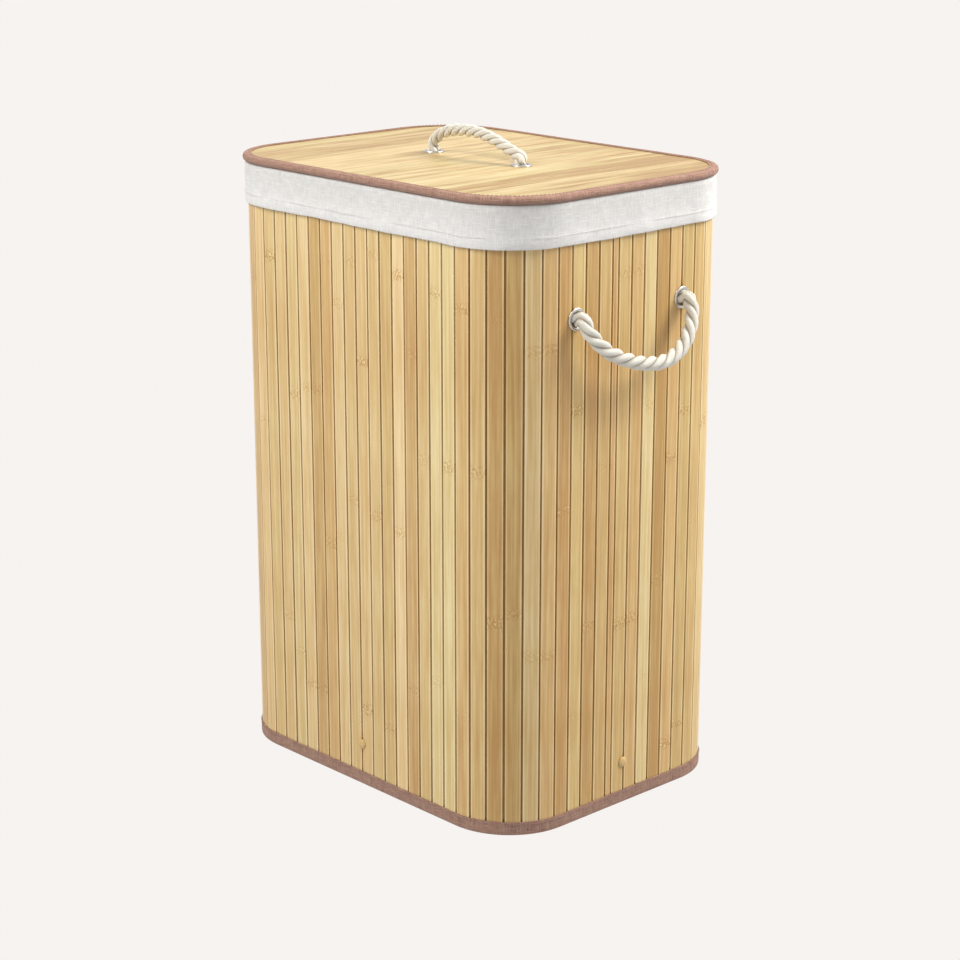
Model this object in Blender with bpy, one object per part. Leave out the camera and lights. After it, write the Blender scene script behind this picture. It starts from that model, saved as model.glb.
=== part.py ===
"""Rectangular bamboo laundry hamper with a fabric liner, a hinged lid and rope handles.

The frame stands on z = 0 with +Z up, x along the long side, and the front at -Y.
Its wall is a curtain of upright slats glued to a cloth backing and bound with tape.
"""

import math

import bmesh
import bpy
from mathutils import Matrix, Vector

# Driving dimensions, in metres.
LENGTH = 0.400  # long side of the slat wall
WIDTH = 0.300  # short side of the slat wall
CORNER = 0.068  # radius of the wall's corners
LID_TOP = 0.588
LID_THICK = 0.0070
LID_OVERHANG = 0.004
GAP = 0.0003  # clearance between pieces that touch

SLAT_THICK = 0.002
SLAT_COUNT = 77
NARROW_SLAT = 0.008  # the cut slat where the curtain's two ends meet
SEAM_Y = -0.019  # where that slat stands on the +X wall
SLAT_GROOVE = 0.0014
SLAT_WEB = 0.0005  # what joins the slats of one panel

CLOTH = 0.0006  # backing cloth and binding tape
LINER_CLOTH = 0.0008
HEM_HIGH = 0.013
RIM_LEG = 0.015
CUFF_LOW = 0.5425
LID_FLANGE = 0.0085  # how far the lid's binding reaches over its faces
LID_SLAT_PITCH = 0.0165

ROPE = 0.0135  # side ropes
LID_ROPE_THICK = 0.0115
HOLE = 0.0083  # radius of the holes that the eyelets pass through
EYELET_RADIUS = 0.0103
EYELET_BARREL = 0.0079
EYELET_BORE = 0.0071
EYELET_PROUD = 0.0010
KNOT_RADIUS = 0.0135
KNOT_LONG = 0.022
SIDE_EYELET_Y = 0.068
SIDE_EYELET_Z = 0.476
LID_EYELET_X = 0.0595

PEG_Z = 0.041
PEG_HEAD = 0.005
PEG_SHANK = 0.0025
BLOCK = (0.040, 0.012, 0.016)  # along the wall, inwards, high
BASE_THICK = 0.004

HINGE_TAB = (0.050, 0.130)  # x of a hinge tab's two sides
HINGE_TAB_LOW = 0.550
HINGE_Y = 0.1555
ROUND_STEPS = 16  # sides of a small round piece

# Side rope, from one eyelet to the other: along the wall, down and outwards, in metres.
SIDE_ROPE = (
    (-0.0680, 0.0000, 0.0000),
    (-0.0665, 0.0090, 0.0045),
    (-0.0600, 0.0185, 0.0085),
    (-0.0495, 0.0285, 0.0125),
    (-0.0330, 0.0370, 0.0160),
    (-0.0115, 0.0439, 0.0183),
    (0.0105, 0.0466, 0.0190),
    (0.0275, 0.0445, 0.0180),
    (0.0415, 0.0385, 0.0160),
    (0.0525, 0.0294, 0.0135),
    (0.0605, 0.0195, 0.0100),
    (0.0660, 0.0095, 0.0055),
    (0.0680, 0.0000, 0.0000),
)

# Lid rope, from the left eyelet to the right one: along the lid and up, in metres.
LID_ROPE = (
    (-0.0595, 0.0000),
    (-0.0555, 0.0060),
    (-0.0480, 0.0106),
    (-0.0362, 0.0146),
    (-0.0200, 0.0169),
    (0.0000, 0.0170),
    (0.0190, 0.0138),
    (0.0348, 0.0088),
    (0.0483, 0.0040),
    (0.0595, 0.0000),
)

# Worked out from them.
HALF_X, HALF_Y = LENGTH / 2, WIDTH / 2
LID_LOW = LID_TOP - LID_THICK
CUFF_TOP = LID_LOW - GAP
RIM_TOP = CUFF_TOP - LINER_CLOTH - GAP
WALL_TOP = RIM_TOP - CLOTH - GAP
WALL_LOW = CLOTH + GAP
BACKING = SLAT_THICK + GAP  # inset of the backing's outer side
INNER_LEG = BACKING + CLOTH + GAP  # inset of whatever lies against the backing
CUFF_OUT = 0.0013  # how far the cuff's inner side stands off the slats
BASE_LOW = PEG_Z + BLOCK[2] / 2 + GAP
LINER_LOW = BASE_LOW + BASE_THICK + GAP
BALL = ROPE / 2 + GAP  # from a side rope's joint to the still end of the rope
LID_BALL = LID_ROPE_THICK / 2 + GAP  # the same for the lid's rope
HINGE_Z = LID_LOW - GAP

COLOURS = {  # red, green, blue, roughness, metallic
    "bamboo": (0.66, 0.47, 0.24, 0.50, 0.0),
    "dark_bamboo": (0.52, 0.35, 0.17, 0.55, 0.0),
    "binding": (0.36, 0.22, 0.18, 0.90, 0.0),
    "backing": (0.24, 0.15, 0.08, 0.95, 0.0),
    "linen": (0.82, 0.80, 0.76, 0.95, 0.0),
    "rope": (0.80, 0.75, 0.64, 0.90, 0.0),
    "steel": (0.70, 0.70, 0.70, 0.30, 1.0),
    "board": (0.45, 0.33, 0.20, 0.80, 0.0),
    "wood": (0.60, 0.45, 0.26, 0.65, 0.0),
}


def clear_scene():
    for obj in list(bpy.data.objects):
        bpy.data.objects.remove(obj, do_unlink=True)


def material(name, colour):
    red, green, blue, roughness, metallic = COLOURS[colour]
    made = bpy.data.materials.new(name)
    made.use_nodes = True
    shader = made.node_tree.nodes["Principled BSDF"]
    shader.inputs["Base Color"].default_value = (red, green, blue, 1)
    shader.inputs["Roughness"].default_value = roughness
    shader.inputs["Metallic"].default_value = metallic
    return made


def add(name, mesh, colour, place=None, parent=None):
    """Put a mesh in the scene, with its own material and its place in the world."""
    obj = bpy.data.objects.new(name, mesh)
    bpy.context.scene.collection.objects.link(obj)
    mesh.materials.append(material(name, colour))
    obj.parent = parent
    obj.matrix_world = place or Matrix()
    return obj


def to_mesh(name, bm):
    bmesh.ops.recalc_face_normals(bm, faces=bm.faces)
    mesh = bpy.data.meshes.new(name)
    bm.to_mesh(mesh)
    bm.free()
    return mesh


def empty(name, place):
    obj = bpy.data.objects.new(name, None)
    bpy.context.scene.collection.objects.link(obj)
    obj.matrix_world = Matrix.Translation(place)
    bpy.context.view_layer.update()
    return obj


def wall_point(along, inset=0.0):
    """Point on the wall's outline. along runs anticlockwise from the middle of +X."""
    reach_x, reach_y = HALF_X - CORNER, HALF_Y - CORNER
    turn = CORNER * math.pi / 2
    radius = CORNER - inset
    stretches = (
        (reach_y, turn, (reach_x, reach_y), 0),
        (2 * reach_x, turn, (-reach_x, reach_y), 90),
        (2 * reach_y, turn, (-reach_x, -reach_y), 180),
        (2 * reach_x, turn, (reach_x, -reach_y), 270),
    )
    along %= perimeter()
    for straight, arc, centre, start in stretches:
        facing = math.radians(start)
        out = Vector((math.cos(facing), math.sin(facing)))
        forward = Vector((-out.y, out.x))
        if along <= straight:
            return Vector(centre) + out * radius + forward * (along - straight)
        along -= straight
        if along <= arc:
            angle = facing + along / CORNER
            return Vector(centre) + radius * Vector((math.cos(angle), math.sin(angle)))
        along -= arc
    return Vector((HALF_X - inset, -reach_y + along))


def perimeter():
    straight = 4 * (HALF_X - CORNER) + 4 * (HALF_Y - CORNER)
    return straight + 2 * math.pi * CORNER


def slat_edges():
    """Where each slat of the curtain ends, starting behind the narrow slat."""
    pitch = (perimeter() - NARROW_SLAT) / SLAT_COUNT
    first = SEAM_Y + NARROW_SLAT / 2
    return [first + pitch * i for i in range(SLAT_COUNT + 1)]


def faceted_outline(inset):
    """The wall's outline with a corner at every joint between two slats."""
    return [wall_point(edge, inset) for edge in slat_edges()]


def round_outline(inset, inset_y=None, steps=8):
    """A smooth outline, inset from the wall's outer side and with the same corners."""
    inset_y = inset if inset_y is None else inset_y
    radius = CORNER - (inset + inset_y) / 2
    reach_x, reach_y = HALF_X - inset - radius, HALF_Y - inset_y - radius
    points = []
    for quarter, (side_x, side_y) in enumerate(((1, 1), (-1, 1), (-1, -1), (1, -1))):
        for step in range(steps + 1):
            angle = math.radians(90 * (quarter + step / steps))
            x = side_x * reach_x + radius * math.cos(angle)
            y = side_y * reach_y + radius * math.sin(angle)
            points.append(Vector((x, y)))
    return points


def plate(name, outline, low, high):
    """An upright prism over an outline."""
    bm = bmesh.new()
    face = bm.faces.new([bm.verts.new((p.x, p.y, low)) for p in outline])
    lifted = bmesh.ops.extrude_face_region(bm, geom=[face])["geom"]
    moved = [v for v in lifted if isinstance(v, bmesh.types.BMVert)]
    bmesh.ops.translate(bm, verts=moved, vec=(0, 0, high - low))
    return to_mesh(name, bm)


def band(name, loops):
    """A closed ring: loops are (outline, z) round its section, in order."""
    bm = bmesh.new()
    rings = [[bm.verts.new((p.x, p.y, z)) for p in outline] for outline, z in loops]
    count = len(rings[0])
    for ring, following in zip(rings, rings[1:] + rings[:1]):
        for i in range(count):
            j = (i + 1) % count
            bm.faces.new((ring[i], ring[j], following[j], following[i]))
    return to_mesh(name, bm)


def turned(name, profile, steps):
    """A solid of revolution about Z. profile is (radius, z), from one end to the other."""
    bm = bmesh.new()
    closed = profile[0][0] > 0
    verts = [bm.verts.new((radius, 0, z)) for radius, z in profile]
    edges = [bm.edges.new(pair) for pair in zip(verts, verts[1:])]
    if closed:
        edges.append(bm.edges.new((verts[-1], verts[0])))
    bmesh.ops.spin(
        bm, geom=verts + edges, cent=(0, 0, 0), axis=(0, 0, 1),
        angle=2 * math.pi, steps=steps, use_merge=True,
    )
    bmesh.ops.remove_doubles(bm, verts=bm.verts, dist=1e-6)
    return to_mesh(name, bm)


def box(name, low, high):
    bm = bmesh.new()
    bmesh.ops.create_cube(bm, size=1)
    size = [b - a for a, b in zip(low, high)]
    middle = [(a + b) / 2 for a, b in zip(low, high)]
    bmesh.ops.transform(bm, matrix=Matrix.LocRotScale(middle, None, size), verts=bm.verts)
    return to_mesh(name, bm)


def outwards(place, direction):
    """A matrix at place whose Z axis points along direction."""
    turn = Vector(direction).to_track_quat("Z", "Y").to_matrix().to_4x4()
    return Matrix.Translation(place) @ turn


def cutter(name, mesh, place=None):
    obj = bpy.data.objects.new(name, mesh)
    bpy.context.scene.collection.objects.link(obj)
    obj.matrix_world = place or Matrix()
    obj.hide_render = True
    obj.display_type = "WIRE"
    return obj


def drill(name, place, direction, radius, depth=0.03):
    profile = ((0, -depth), (radius, -depth), (radius, depth), (0, depth))
    return cutter(name, turned(name, profile, ROUND_STEPS), outwards(place, direction))


def cut(obj, tools):
    for tool in tools:
        hole = obj.modifiers.new(tool.name, "BOOLEAN")
        hole.operation = "DIFFERENCE"
        hole.object = tool


def slat_panels():
    """The curtain's panels: name and the numbers of the slats in each."""
    names = {(1, 0): "right", (-1, 0): "left", (0, 1): "back", (0, -1): "front"}
    edges = slat_edges() + [slat_edges()[0] + perimeter()]
    found = {}
    for number in range(SLAT_COUNT + 1):
        middle = wall_point((edges[number] + edges[number + 1]) / 2)
        side_x = (middle.x > 0) - (middle.x < 0) if abs(middle.x) > HALF_X - CORNER else 0
        side_y = (middle.y > 0) - (middle.y < 0) if abs(middle.y) > HALF_Y - CORNER else 0
        if (side_x, side_y) in names:
            name = f"slat_panel_{names[side_x, side_y]}"
        else:
            name = f"slat_corner_{names[0, side_y]}_{names[side_x, 0]}"
        found.setdefault(name, []).append(number)
    return found, edges


def panel_outline(numbers, edges):
    """Section of one panel: a facet for each slat, with a groove after it."""
    start = next(n for n in numbers if (n - 1) % (SLAT_COUNT + 1) not in numbers)
    ordered = [(start + i) % (SLAT_COUNT + 1) for i in range(len(numbers))]
    half = SLAT_GROOVE / 2
    outer, inner = [], []
    for number in ordered:
        low, high = edges[number] + half, edges[number + 1] - half
        if number != ordered[0]:
            outer.append(wall_point(low, SLAT_THICK - SLAT_WEB))
        outer += [wall_point(low), wall_point(high)]
        if number != ordered[-1]:
            outer.append(wall_point(high, SLAT_THICK - SLAT_WEB))
        inner += [wall_point(low, SLAT_THICK), wall_point(high, SLAT_THICK)]
    return outer + inner[::-1]


def make_wall():
    """Slat curtain, its cloth backing, its seam strip and its two bindings."""
    eyelets = [
        drill(f"cut_eyelet_{side}_{end}", (side * HALF_X, end * SIDE_EYELET_Y, SIDE_EYELET_Z),
              (side, 0, 0), HOLE)
        for side in (-1, 1) for end in (-1, 1)
    ]
    pegs = [
        drill(f"cut_peg_{x}_{y}", (x * HALF_X, y * HALF_Y, PEG_Z), (x, y, 0), PEG_SHANK + GAP)
        for x, y in ((1, 0), (-1, 0), (0, 1), (0, -1))
    ]
    panels, edges = slat_panels()
    for name, numbers in panels.items():
        mesh = plate(name, panel_outline(numbers, edges), WALL_LOW, WALL_TOP)
        panel = add(name, mesh, "bamboo")
        if name.startswith("slat_panel"):
            cut(panel, [t for t in eyelets + pegs if touches(panel, t)])
    outer, inner = faceted_outline(BACKING), faceted_outline(BACKING + CLOTH)
    loops = [(outer, WALL_LOW), (outer, WALL_TOP), (inner, WALL_TOP), (inner, WALL_LOW)]
    cut(add("wall_backing_cloth", band("wall_backing_cloth", loops), "backing"), eyelets + pegs)
    half = 0.020
    low = (HALF_X - INNER_LEG - CLOTH, SEAM_Y - half, HEM_HIGH + 0.003)
    high = (HALF_X - INNER_LEG, SEAM_Y + half, WALL_TOP - RIM_LEG - 0.003)
    cut(add("wall_seam_strip", box("wall_seam_strip", low, high), "binding"), pegs[:1])
    add("bottom_hem_binding", binding("bottom_hem_binding", 0, HEM_HIGH, True), "binding")
    add("top_rim_binding", binding("top_rim_binding", RIM_TOP, RIM_TOP - RIM_LEG, False), "binding")


def touches(panel, tool):
    """Whether a drill's middle is at this flat panel."""
    xs = [v.co.x for v in panel.data.vertices]
    ys = [v.co.y for v in panel.data.vertices]
    place = tool.matrix_world.translation
    near = 0.001
    return min(xs) - near < place.x < max(xs) + near and min(ys) - near < place.y < max(ys) + near


def binding(name, edge, leg, low):
    """Tape folded over the wall's edge at z = edge, with legs as far as z = leg."""
    inside = edge + CLOTH if low else edge - CLOTH
    out, in_ = -GAP, INNER_LEG
    section = (
        (out - CLOTH, leg), (out - CLOTH, edge), (in_ + CLOTH, edge), (in_ + CLOTH, leg),
        (in_, leg), (in_, inside), (out, inside), (out, leg),
    )
    return band(name, [(faceted_outline(inset), z) for inset, z in section])


def make_base():
    """Base board on four blocks, each held through the wall by a round-headed peg."""
    base = plate("base_board", round_outline(INNER_LEG + 0.0015), BASE_LOW, BASE_LOW + BASE_THICK)
    add("base_board", base, "board")
    along, inwards, high = BLOCK
    dome = 0.0018
    profile = (
        (0, dome), (PEG_HEAD * 0.45, dome * 0.92), (PEG_HEAD * 0.8, dome * 0.6), (PEG_HEAD, 0),
        (PEG_SHANK, 0), (PEG_SHANK, -0.0125), (0, -0.0125),
    )
    for name, (x, y) in {"right": (1, 0), "left": (-1, 0), "back": (0, 1), "front": (0, -1)}.items():
        wall = Vector((x * HALF_X, y * HALF_Y, PEG_Z))
        out = Vector((x, y, 0))
        clear = INNER_LEG + CLOTH + GAP
        middle = wall - out * (clear + inwards / 2)
        size = Vector((abs(y) * along + abs(x) * inwards, abs(x) * along + abs(y) * inwards, high))
        block = box(f"support_block_{name}", middle - size / 2, middle + size / 2)
        block_obj = add(f"support_block_{name}", block, "wood")
        cut(block_obj, [drill(f"cut_block_{name}", wall, out, PEG_SHANK + GAP, 0.0132)])
        peg = turned(f"peg_{name}", profile, ROUND_STEPS)
        add(f"peg_{name}", peg, "bamboo", outwards(wall + out * GAP, out))


def make_liner():
    """Liner: a floor, a bag that leaves room for the rope knots, and a cuff over the rim."""
    floor_inset = 0.0175
    floor = plate("liner_floor", round_outline(floor_inset, floor_inset - 0.004),
                  LINER_LOW, LINER_LOW + LINER_CLOTH)
    add("liner_floor", floor, "linen")
    knots = 0.031
    levels = (  # z, inset from the short walls, inset from the long walls
        (LINER_LOW, 0.016, 0.012), (0.300, 0.021, 0.012), (0.430, knots, 0.012),
        (0.510, knots, 0.011), (0.5450, 0.0125, 0.0090), (0.5620, 0.0055, 0.0055),
    )
    outer = [(round_outline(x, y), z) for z, x, y in levels]
    inner = [(round_outline(x + LINER_CLOTH, y + LINER_CLOTH), z) for z, x, y in levels]
    add("liner_bag", band("liner_bag", outer + inner[::-1]), "linen")
    inside = INNER_LEG + CLOTH + 2 * GAP
    section = (
        (-CUFF_OUT, CUFF_LOW), (-CUFF_OUT - LINER_CLOTH, CUFF_LOW),
        (-CUFF_OUT - LINER_CLOTH, CUFF_TOP), (inside + LINER_CLOTH, CUFF_TOP),
        (inside + LINER_CLOTH, 0.5625), (inside, 0.5625),
        (inside, CUFF_TOP - LINER_CLOTH), (-CUFF_OUT, CUFF_TOP - LINER_CLOTH),
    )
    loops = [(round_outline(inset), z) for inset, z in section]
    add("liner_cuff", band("liner_cuff", loops), "linen")


def make_lid(pivot):
    """Lid: slats on a board, lined underneath, bound with tape and hinged on two tabs."""
    turn = 0.0012  # how much the binding's outer edges are rounded
    edge = CLOTH + GAP + turn
    skin = CLOTH + GAP  # what lies over the layers at the lid's edge
    holes = [
        drill(f"cut_lid_{end}", (end * LID_EYELET_X, 0, LID_TOP), (0, 0, 1), HOLE) for end in (-1, 1)
    ]
    slat_top = LID_TOP - skin
    lining_low = LID_LOW + skin
    layers = (
        ("lid_slats", slat_top - SLAT_THICK, slat_top, "bamboo"),
        ("lid_board", lining_low + CLOTH + GAP, slat_top - SLAT_THICK - GAP, "board"),
        ("lid_lining", lining_low, lining_low + CLOTH, "linen"),
    )
    outline = round_outline(edge - LID_OVERHANG)
    for name, low, high, colour in layers:
        layer = add(name, plate(name, outline, low, high), colour, parent=pivot)
        cut(layer, holes)
        if name == "lid_slats":
            cut(layer, [lid_grooves(high)])
    section = (
        (0, LID_LOW + turn), (0, LID_TOP - turn), (turn, LID_TOP), (LID_FLANGE, LID_TOP),
        (LID_FLANGE, LID_TOP - CLOTH), (turn, LID_TOP - CLOTH), (CLOTH, LID_TOP - turn - CLOTH),
        (CLOTH, LID_LOW + turn + CLOTH), (turn, LID_LOW + CLOTH), (LID_FLANGE, LID_LOW + CLOTH),
        (LID_FLANGE, LID_LOW), (turn, LID_LOW),
    )
    loops = [(round_outline(inset - LID_OVERHANG), z) for inset, z in section]
    add("lid_binding", band("lid_binding", loops), "binding", parent=pivot)
    back = HALF_Y + LID_OVERHANG + GAP
    cuff = HALF_Y + CUFF_OUT + LINER_CLOTH + GAP
    for name, side in (("left", -1), ("right", 1)):
        near, far = sorted(side * x for x in HINGE_TAB)
        tab = box(f"lid_hinge_tab_{name}", (near, back, LID_LOW + GAP),
                  (far, back + LINER_CLOTH, LID_TOP - 0.0008))
        add(f"lid_hinge_tab_{name}", tab, "binding", parent=pivot)
        strip = box(f"cuff_fastening_tab_{name}", (near, cuff, HINGE_TAB_LOW),
                    (far, cuff + LINER_CLOTH, HINGE_Z - 0.0007))
        add(f"cuff_fastening_tab_{name}", strip, "binding")


def lid_grooves(top):
    """One cutter for the fine grooves between the lid's slats, which run along y."""
    bm = bmesh.new()
    count = round(LENGTH / LID_SLAT_PITCH)
    wide, deep = 0.0006, 0.0007
    for i in range(count):
        x = (i - (count - 1) / 2) * LID_SLAT_PITCH
        place = Matrix.LocRotScale((x, 0, top), None, (wide, WIDTH * 1.2, 2 * deep))
        bmesh.ops.create_cube(bm, size=1, matrix=place)
    return cutter("cut_lid_grooves", to_mesh("cut_lid_grooves", bm))


def add_eyelet(name, place, out, through, parent=None):
    """Eyelet and its washer: place is on the face that it is set in, through is that wall."""
    low = -through - GAP - EYELET_PROUD
    soft = 0.0004
    profile = (
        (EYELET_BORE, low), (EYELET_BORE, EYELET_PROUD + GAP - soft),
        (EYELET_BORE + soft, EYELET_PROUD + GAP), (EYELET_RADIUS - soft, EYELET_PROUD + GAP),
        (EYELET_RADIUS, EYELET_PROUD), (EYELET_RADIUS, GAP), (EYELET_BARREL, GAP),
        (EYELET_BARREL, low),
    )
    add(f"{name}_eyelet", turned(name, profile, ROUND_STEPS), "steel", outwards(place, out), parent)
    washer = (
        (EYELET_BARREL + GAP, low), (EYELET_RADIUS, low),
        (EYELET_RADIUS, low + EYELET_PROUD), (EYELET_BARREL + GAP, low + EYELET_PROUD),
    )
    add(f"{name}_washer", turned(name, washer, ROUND_STEPS), "steel", outwards(place, out), parent)


def add_rope_end(name, place, out, through, thick, parent=None):
    """The still end of a rope: through its eyelet from the mouth, then a knot behind it."""
    radius = thick / 2
    mouth = 2 * GAP + EYELET_PROUD
    start = -through - 2 * GAP - EYELET_PROUD
    end = start - KNOT_LONG
    profile = [(0, mouth), (radius, mouth), (radius, start)]
    steps = 6
    for i in range(1, steps):
        angle = math.pi * i / steps
        bulge = radius * 0.8 + (KNOT_RADIUS - radius * 0.8) * math.sin(angle) ** 0.6
        profile.append((bulge, start + (end - start) * (1 - math.cos(angle)) / 2))
    profile += [(radius * 0.8, end), (0, end)]
    mesh = turned(name, profile, ROUND_STEPS)
    add(name, mesh, "rope", outwards(place, out), parent)


def smooth_route(points, per_piece):
    """Catmull-Rom curve through the points, with per_piece steps between two of them."""
    route = []
    padded = [2 * points[0] - points[1], *points, 2 * points[-1] - points[-2]]
    for a, b, c, d in zip(padded, padded[1:], padded[2:], padded[3:]):
        for step in range(per_piece):
            t = step / per_piece
            route.append(0.5 * (
                2 * b + (c - a) * t + (2 * a - 5 * b + 4 * c - d) * t * t
                + (3 * b - a - 3 * c + d) * t ** 3
            ))
    return [*route, points[-1]]


def add_rope(name, route, thick, pivot):
    """A moving rope as a round tube along its route, with a ball at each end."""
    radius = thick / 2
    first = (route[0] - route[1]).normalized()
    last = (route[-1] - route[-2]).normalized()
    cap = [(math.cos(math.radians(a)), math.sin(math.radians(a))) for a in (12, 38, 65)]
    points = [(route[0] + first * radius * c, s) for c, s in cap]
    points += [(p, 1.0) for p in route]
    points += [(route[-1] + last * radius * c, s) for c, s in reversed(cap)]
    curve = bpy.data.curves.new(name, "CURVE")
    curve.dimensions = "3D"
    curve.bevel_depth = radius
    curve.bevel_resolution = 3
    curve.use_fill_caps = True
    spline = curve.splines.new("POLY")
    spline.points.add(len(points) - 1)
    for point, (place, size) in zip(spline.points, points):
        point.co = (*(place - pivot.location), 1)
        point.radius = size
    curve.materials.append(material(name, "rope"))
    obj = bpy.data.objects.new(name, curve)
    bpy.context.scene.collection.objects.link(obj)
    obj.parent = pivot
    return obj


def make_side_handles():
    through = SLAT_THICK + GAP + CLOTH
    mouth = 2 * GAP + EYELET_PROUD
    for name, side in (("left", -1), ("right", 1)):
        axis_x = side * (HALF_X + mouth + BALL)
        pivot = empty(f"{name}_handle_pivot", (axis_x, 0, SIDE_EYELET_Z))
        route = [
            Vector((axis_x + side * out, side * along, SIDE_EYELET_Z - down))
            for along, down, out in SIDE_ROPE
        ]
        add_rope(f"{name}_rope_handle", smooth_route(route, 2), ROPE, pivot)
        for end, y in (("front", -SIDE_EYELET_Y), ("back", SIDE_EYELET_Y)):
            place = (side * HALF_X, y, SIDE_EYELET_Z)
            add_eyelet(f"{name}_{end}", place, (side, 0, 0), through)
            add_rope_end(f"{name}_{end}_rope_end", place, (side, 0, 0), through, ROPE)


def make_lid_handle(lid_pivot):
    slat_top = LID_TOP - CLOTH - GAP
    through = slat_top - LID_LOW - CLOTH - GAP
    mouth = 2 * GAP + EYELET_PROUD
    axis_z = slat_top + mouth + LID_BALL
    pivot = empty("lid_handle_pivot", (0, 0, axis_z))
    route = [Vector((along, 0, axis_z + up)) for along, up in LID_ROPE]
    add_rope("lid_rope_handle", smooth_route(route, 2), LID_ROPE_THICK, pivot)
    for end, x in (("left", -LID_EYELET_X), ("right", LID_EYELET_X)):
        place = (x, 0, slat_top)
        add_eyelet(f"lid_{end}", place, (0, 0, 1), through, lid_pivot)
        add_rope_end(f"lid_{end}_rope_end", place, (0, 0, 1), through, LID_ROPE_THICK, lid_pivot)


def shade():
    """Round pieces smooth, with sharp edges kept."""
    for obj in bpy.data.objects:
        if obj.type == "MESH" and not obj.hide_render:
            obj.data.shade_smooth()
            obj.data.set_sharp_from_angle(angle=math.radians(35))


def main():
    clear_scene()
    lid_pivot = empty("lid_pivot", (0, HINGE_Y, HINGE_Z))
    make_wall()
    make_base()
    make_liner()
    make_lid(lid_pivot)
    make_side_handles()
    make_lid_handle(lid_pivot)
    shade()


main()
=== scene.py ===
"""Looks of the bamboo laundry hamper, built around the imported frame."""

import math
import random

import bmesh
import bpy
from mathutils import Matrix, Quaternion, Vector
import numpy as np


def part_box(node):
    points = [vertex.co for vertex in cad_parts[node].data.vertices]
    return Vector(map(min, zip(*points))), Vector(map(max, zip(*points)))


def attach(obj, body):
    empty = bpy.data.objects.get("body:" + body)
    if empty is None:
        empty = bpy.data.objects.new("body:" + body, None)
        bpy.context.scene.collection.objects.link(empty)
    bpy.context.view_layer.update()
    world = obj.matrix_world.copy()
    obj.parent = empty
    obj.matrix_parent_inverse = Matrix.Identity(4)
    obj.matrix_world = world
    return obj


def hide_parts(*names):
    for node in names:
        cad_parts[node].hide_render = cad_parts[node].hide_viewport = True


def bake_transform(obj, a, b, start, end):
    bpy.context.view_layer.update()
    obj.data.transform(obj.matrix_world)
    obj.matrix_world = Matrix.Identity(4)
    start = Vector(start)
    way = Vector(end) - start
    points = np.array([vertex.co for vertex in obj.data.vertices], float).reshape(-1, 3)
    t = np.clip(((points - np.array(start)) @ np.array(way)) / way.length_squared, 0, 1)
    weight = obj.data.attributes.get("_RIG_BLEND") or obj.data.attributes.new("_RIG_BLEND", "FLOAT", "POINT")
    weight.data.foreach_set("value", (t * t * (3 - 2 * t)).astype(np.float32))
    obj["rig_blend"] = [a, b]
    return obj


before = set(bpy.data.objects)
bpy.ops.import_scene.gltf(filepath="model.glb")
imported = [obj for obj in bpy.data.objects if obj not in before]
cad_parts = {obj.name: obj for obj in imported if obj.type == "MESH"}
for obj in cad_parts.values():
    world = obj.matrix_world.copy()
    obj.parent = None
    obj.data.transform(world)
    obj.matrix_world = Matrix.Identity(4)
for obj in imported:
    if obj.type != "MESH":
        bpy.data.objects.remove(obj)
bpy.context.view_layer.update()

RANDOM = random.Random(71)

# Sizes that the frame gives.
BACKING_LOW, BACKING_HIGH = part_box("wall_backing_cloth")
HEM_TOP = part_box("bottom_hem_binding")[1].z
CUFF_LOW, CUFF_TOP = (corner.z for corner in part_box("liner_cuff"))
LID_LOW, LID_TOP = (corner.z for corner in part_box("lid_binding"))
BAG_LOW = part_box("liner_bag")[0].z

# Sizes that the part's own source also has, in metres.
SLAT_THICK = 0.002
GAP = 0.0003  # clearance between pieces that touch
CLOTH = 0.0006  # backing cloth and binding tape
CORNER = 0.068  # radius of the wall's corners
SLAT_COUNT = 77
NARROW_SLAT = 0.008  # the cut slat at the curtain's join
SEAM_Y = -0.019  # where that slat stands
SLAT_GROOVE = 0.0014
RIM_LEG = 0.015
LID_OVERHANG = 0.004
LID_FLANGE = 0.0085  # how far the lid's binding reaches over its faces
LID_SLAT_PITCH = 0.0165
ROPE = 0.0135  # side ropes
LID_ROPE_THICK = 0.0115
HOLE = 0.0083  # radius of the holes that the eyelets pass through
EYELET_RADIUS = 0.0103
EYELET_BORE = 0.0071
EYELET_BARREL = 0.0079
EYELET_PROUD = 0.0010
KNOT_LONG = 0.022
SIDE_EYELET_Y = 0.068
SIDE_EYELET_Z = 0.476
LID_EYELET_X = 0.0595
PEG_Z = 0.041
PEG_HEAD = 0.005
PEG_HOLE = 0.0028
HINGE_TAB_LOW = 0.550
SIDES = {"right": (1, 0), "left": (-1, 0), "back": (0, 1), "front": (0, -1)}
SIDE_ROPE = (  # along the wall, down and outwards
    (-0.0680, 0.0000, 0.0000), (-0.0665, 0.0090, 0.0045), (-0.0600, 0.0185, 0.0085),
    (-0.0495, 0.0285, 0.0125), (-0.0330, 0.0370, 0.0160), (-0.0115, 0.0439, 0.0183),
    (0.0105, 0.0466, 0.0190), (0.0275, 0.0445, 0.0180), (0.0415, 0.0385, 0.0160),
    (0.0525, 0.0294, 0.0135), (0.0605, 0.0195, 0.0100), (0.0660, 0.0095, 0.0055),
    (0.0680, 0.0000, 0.0000),
)
LID_ROPE = (  # along the lid and up
    (-0.0595, 0.0000), (-0.0555, 0.0060), (-0.0480, 0.0106), (-0.0362, 0.0146), (-0.0200, 0.0169),
    (0.0000, 0.0170), (0.0190, 0.0138), (0.0348, 0.0088), (0.0483, 0.0040), (0.0595, 0.0000),
)

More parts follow.
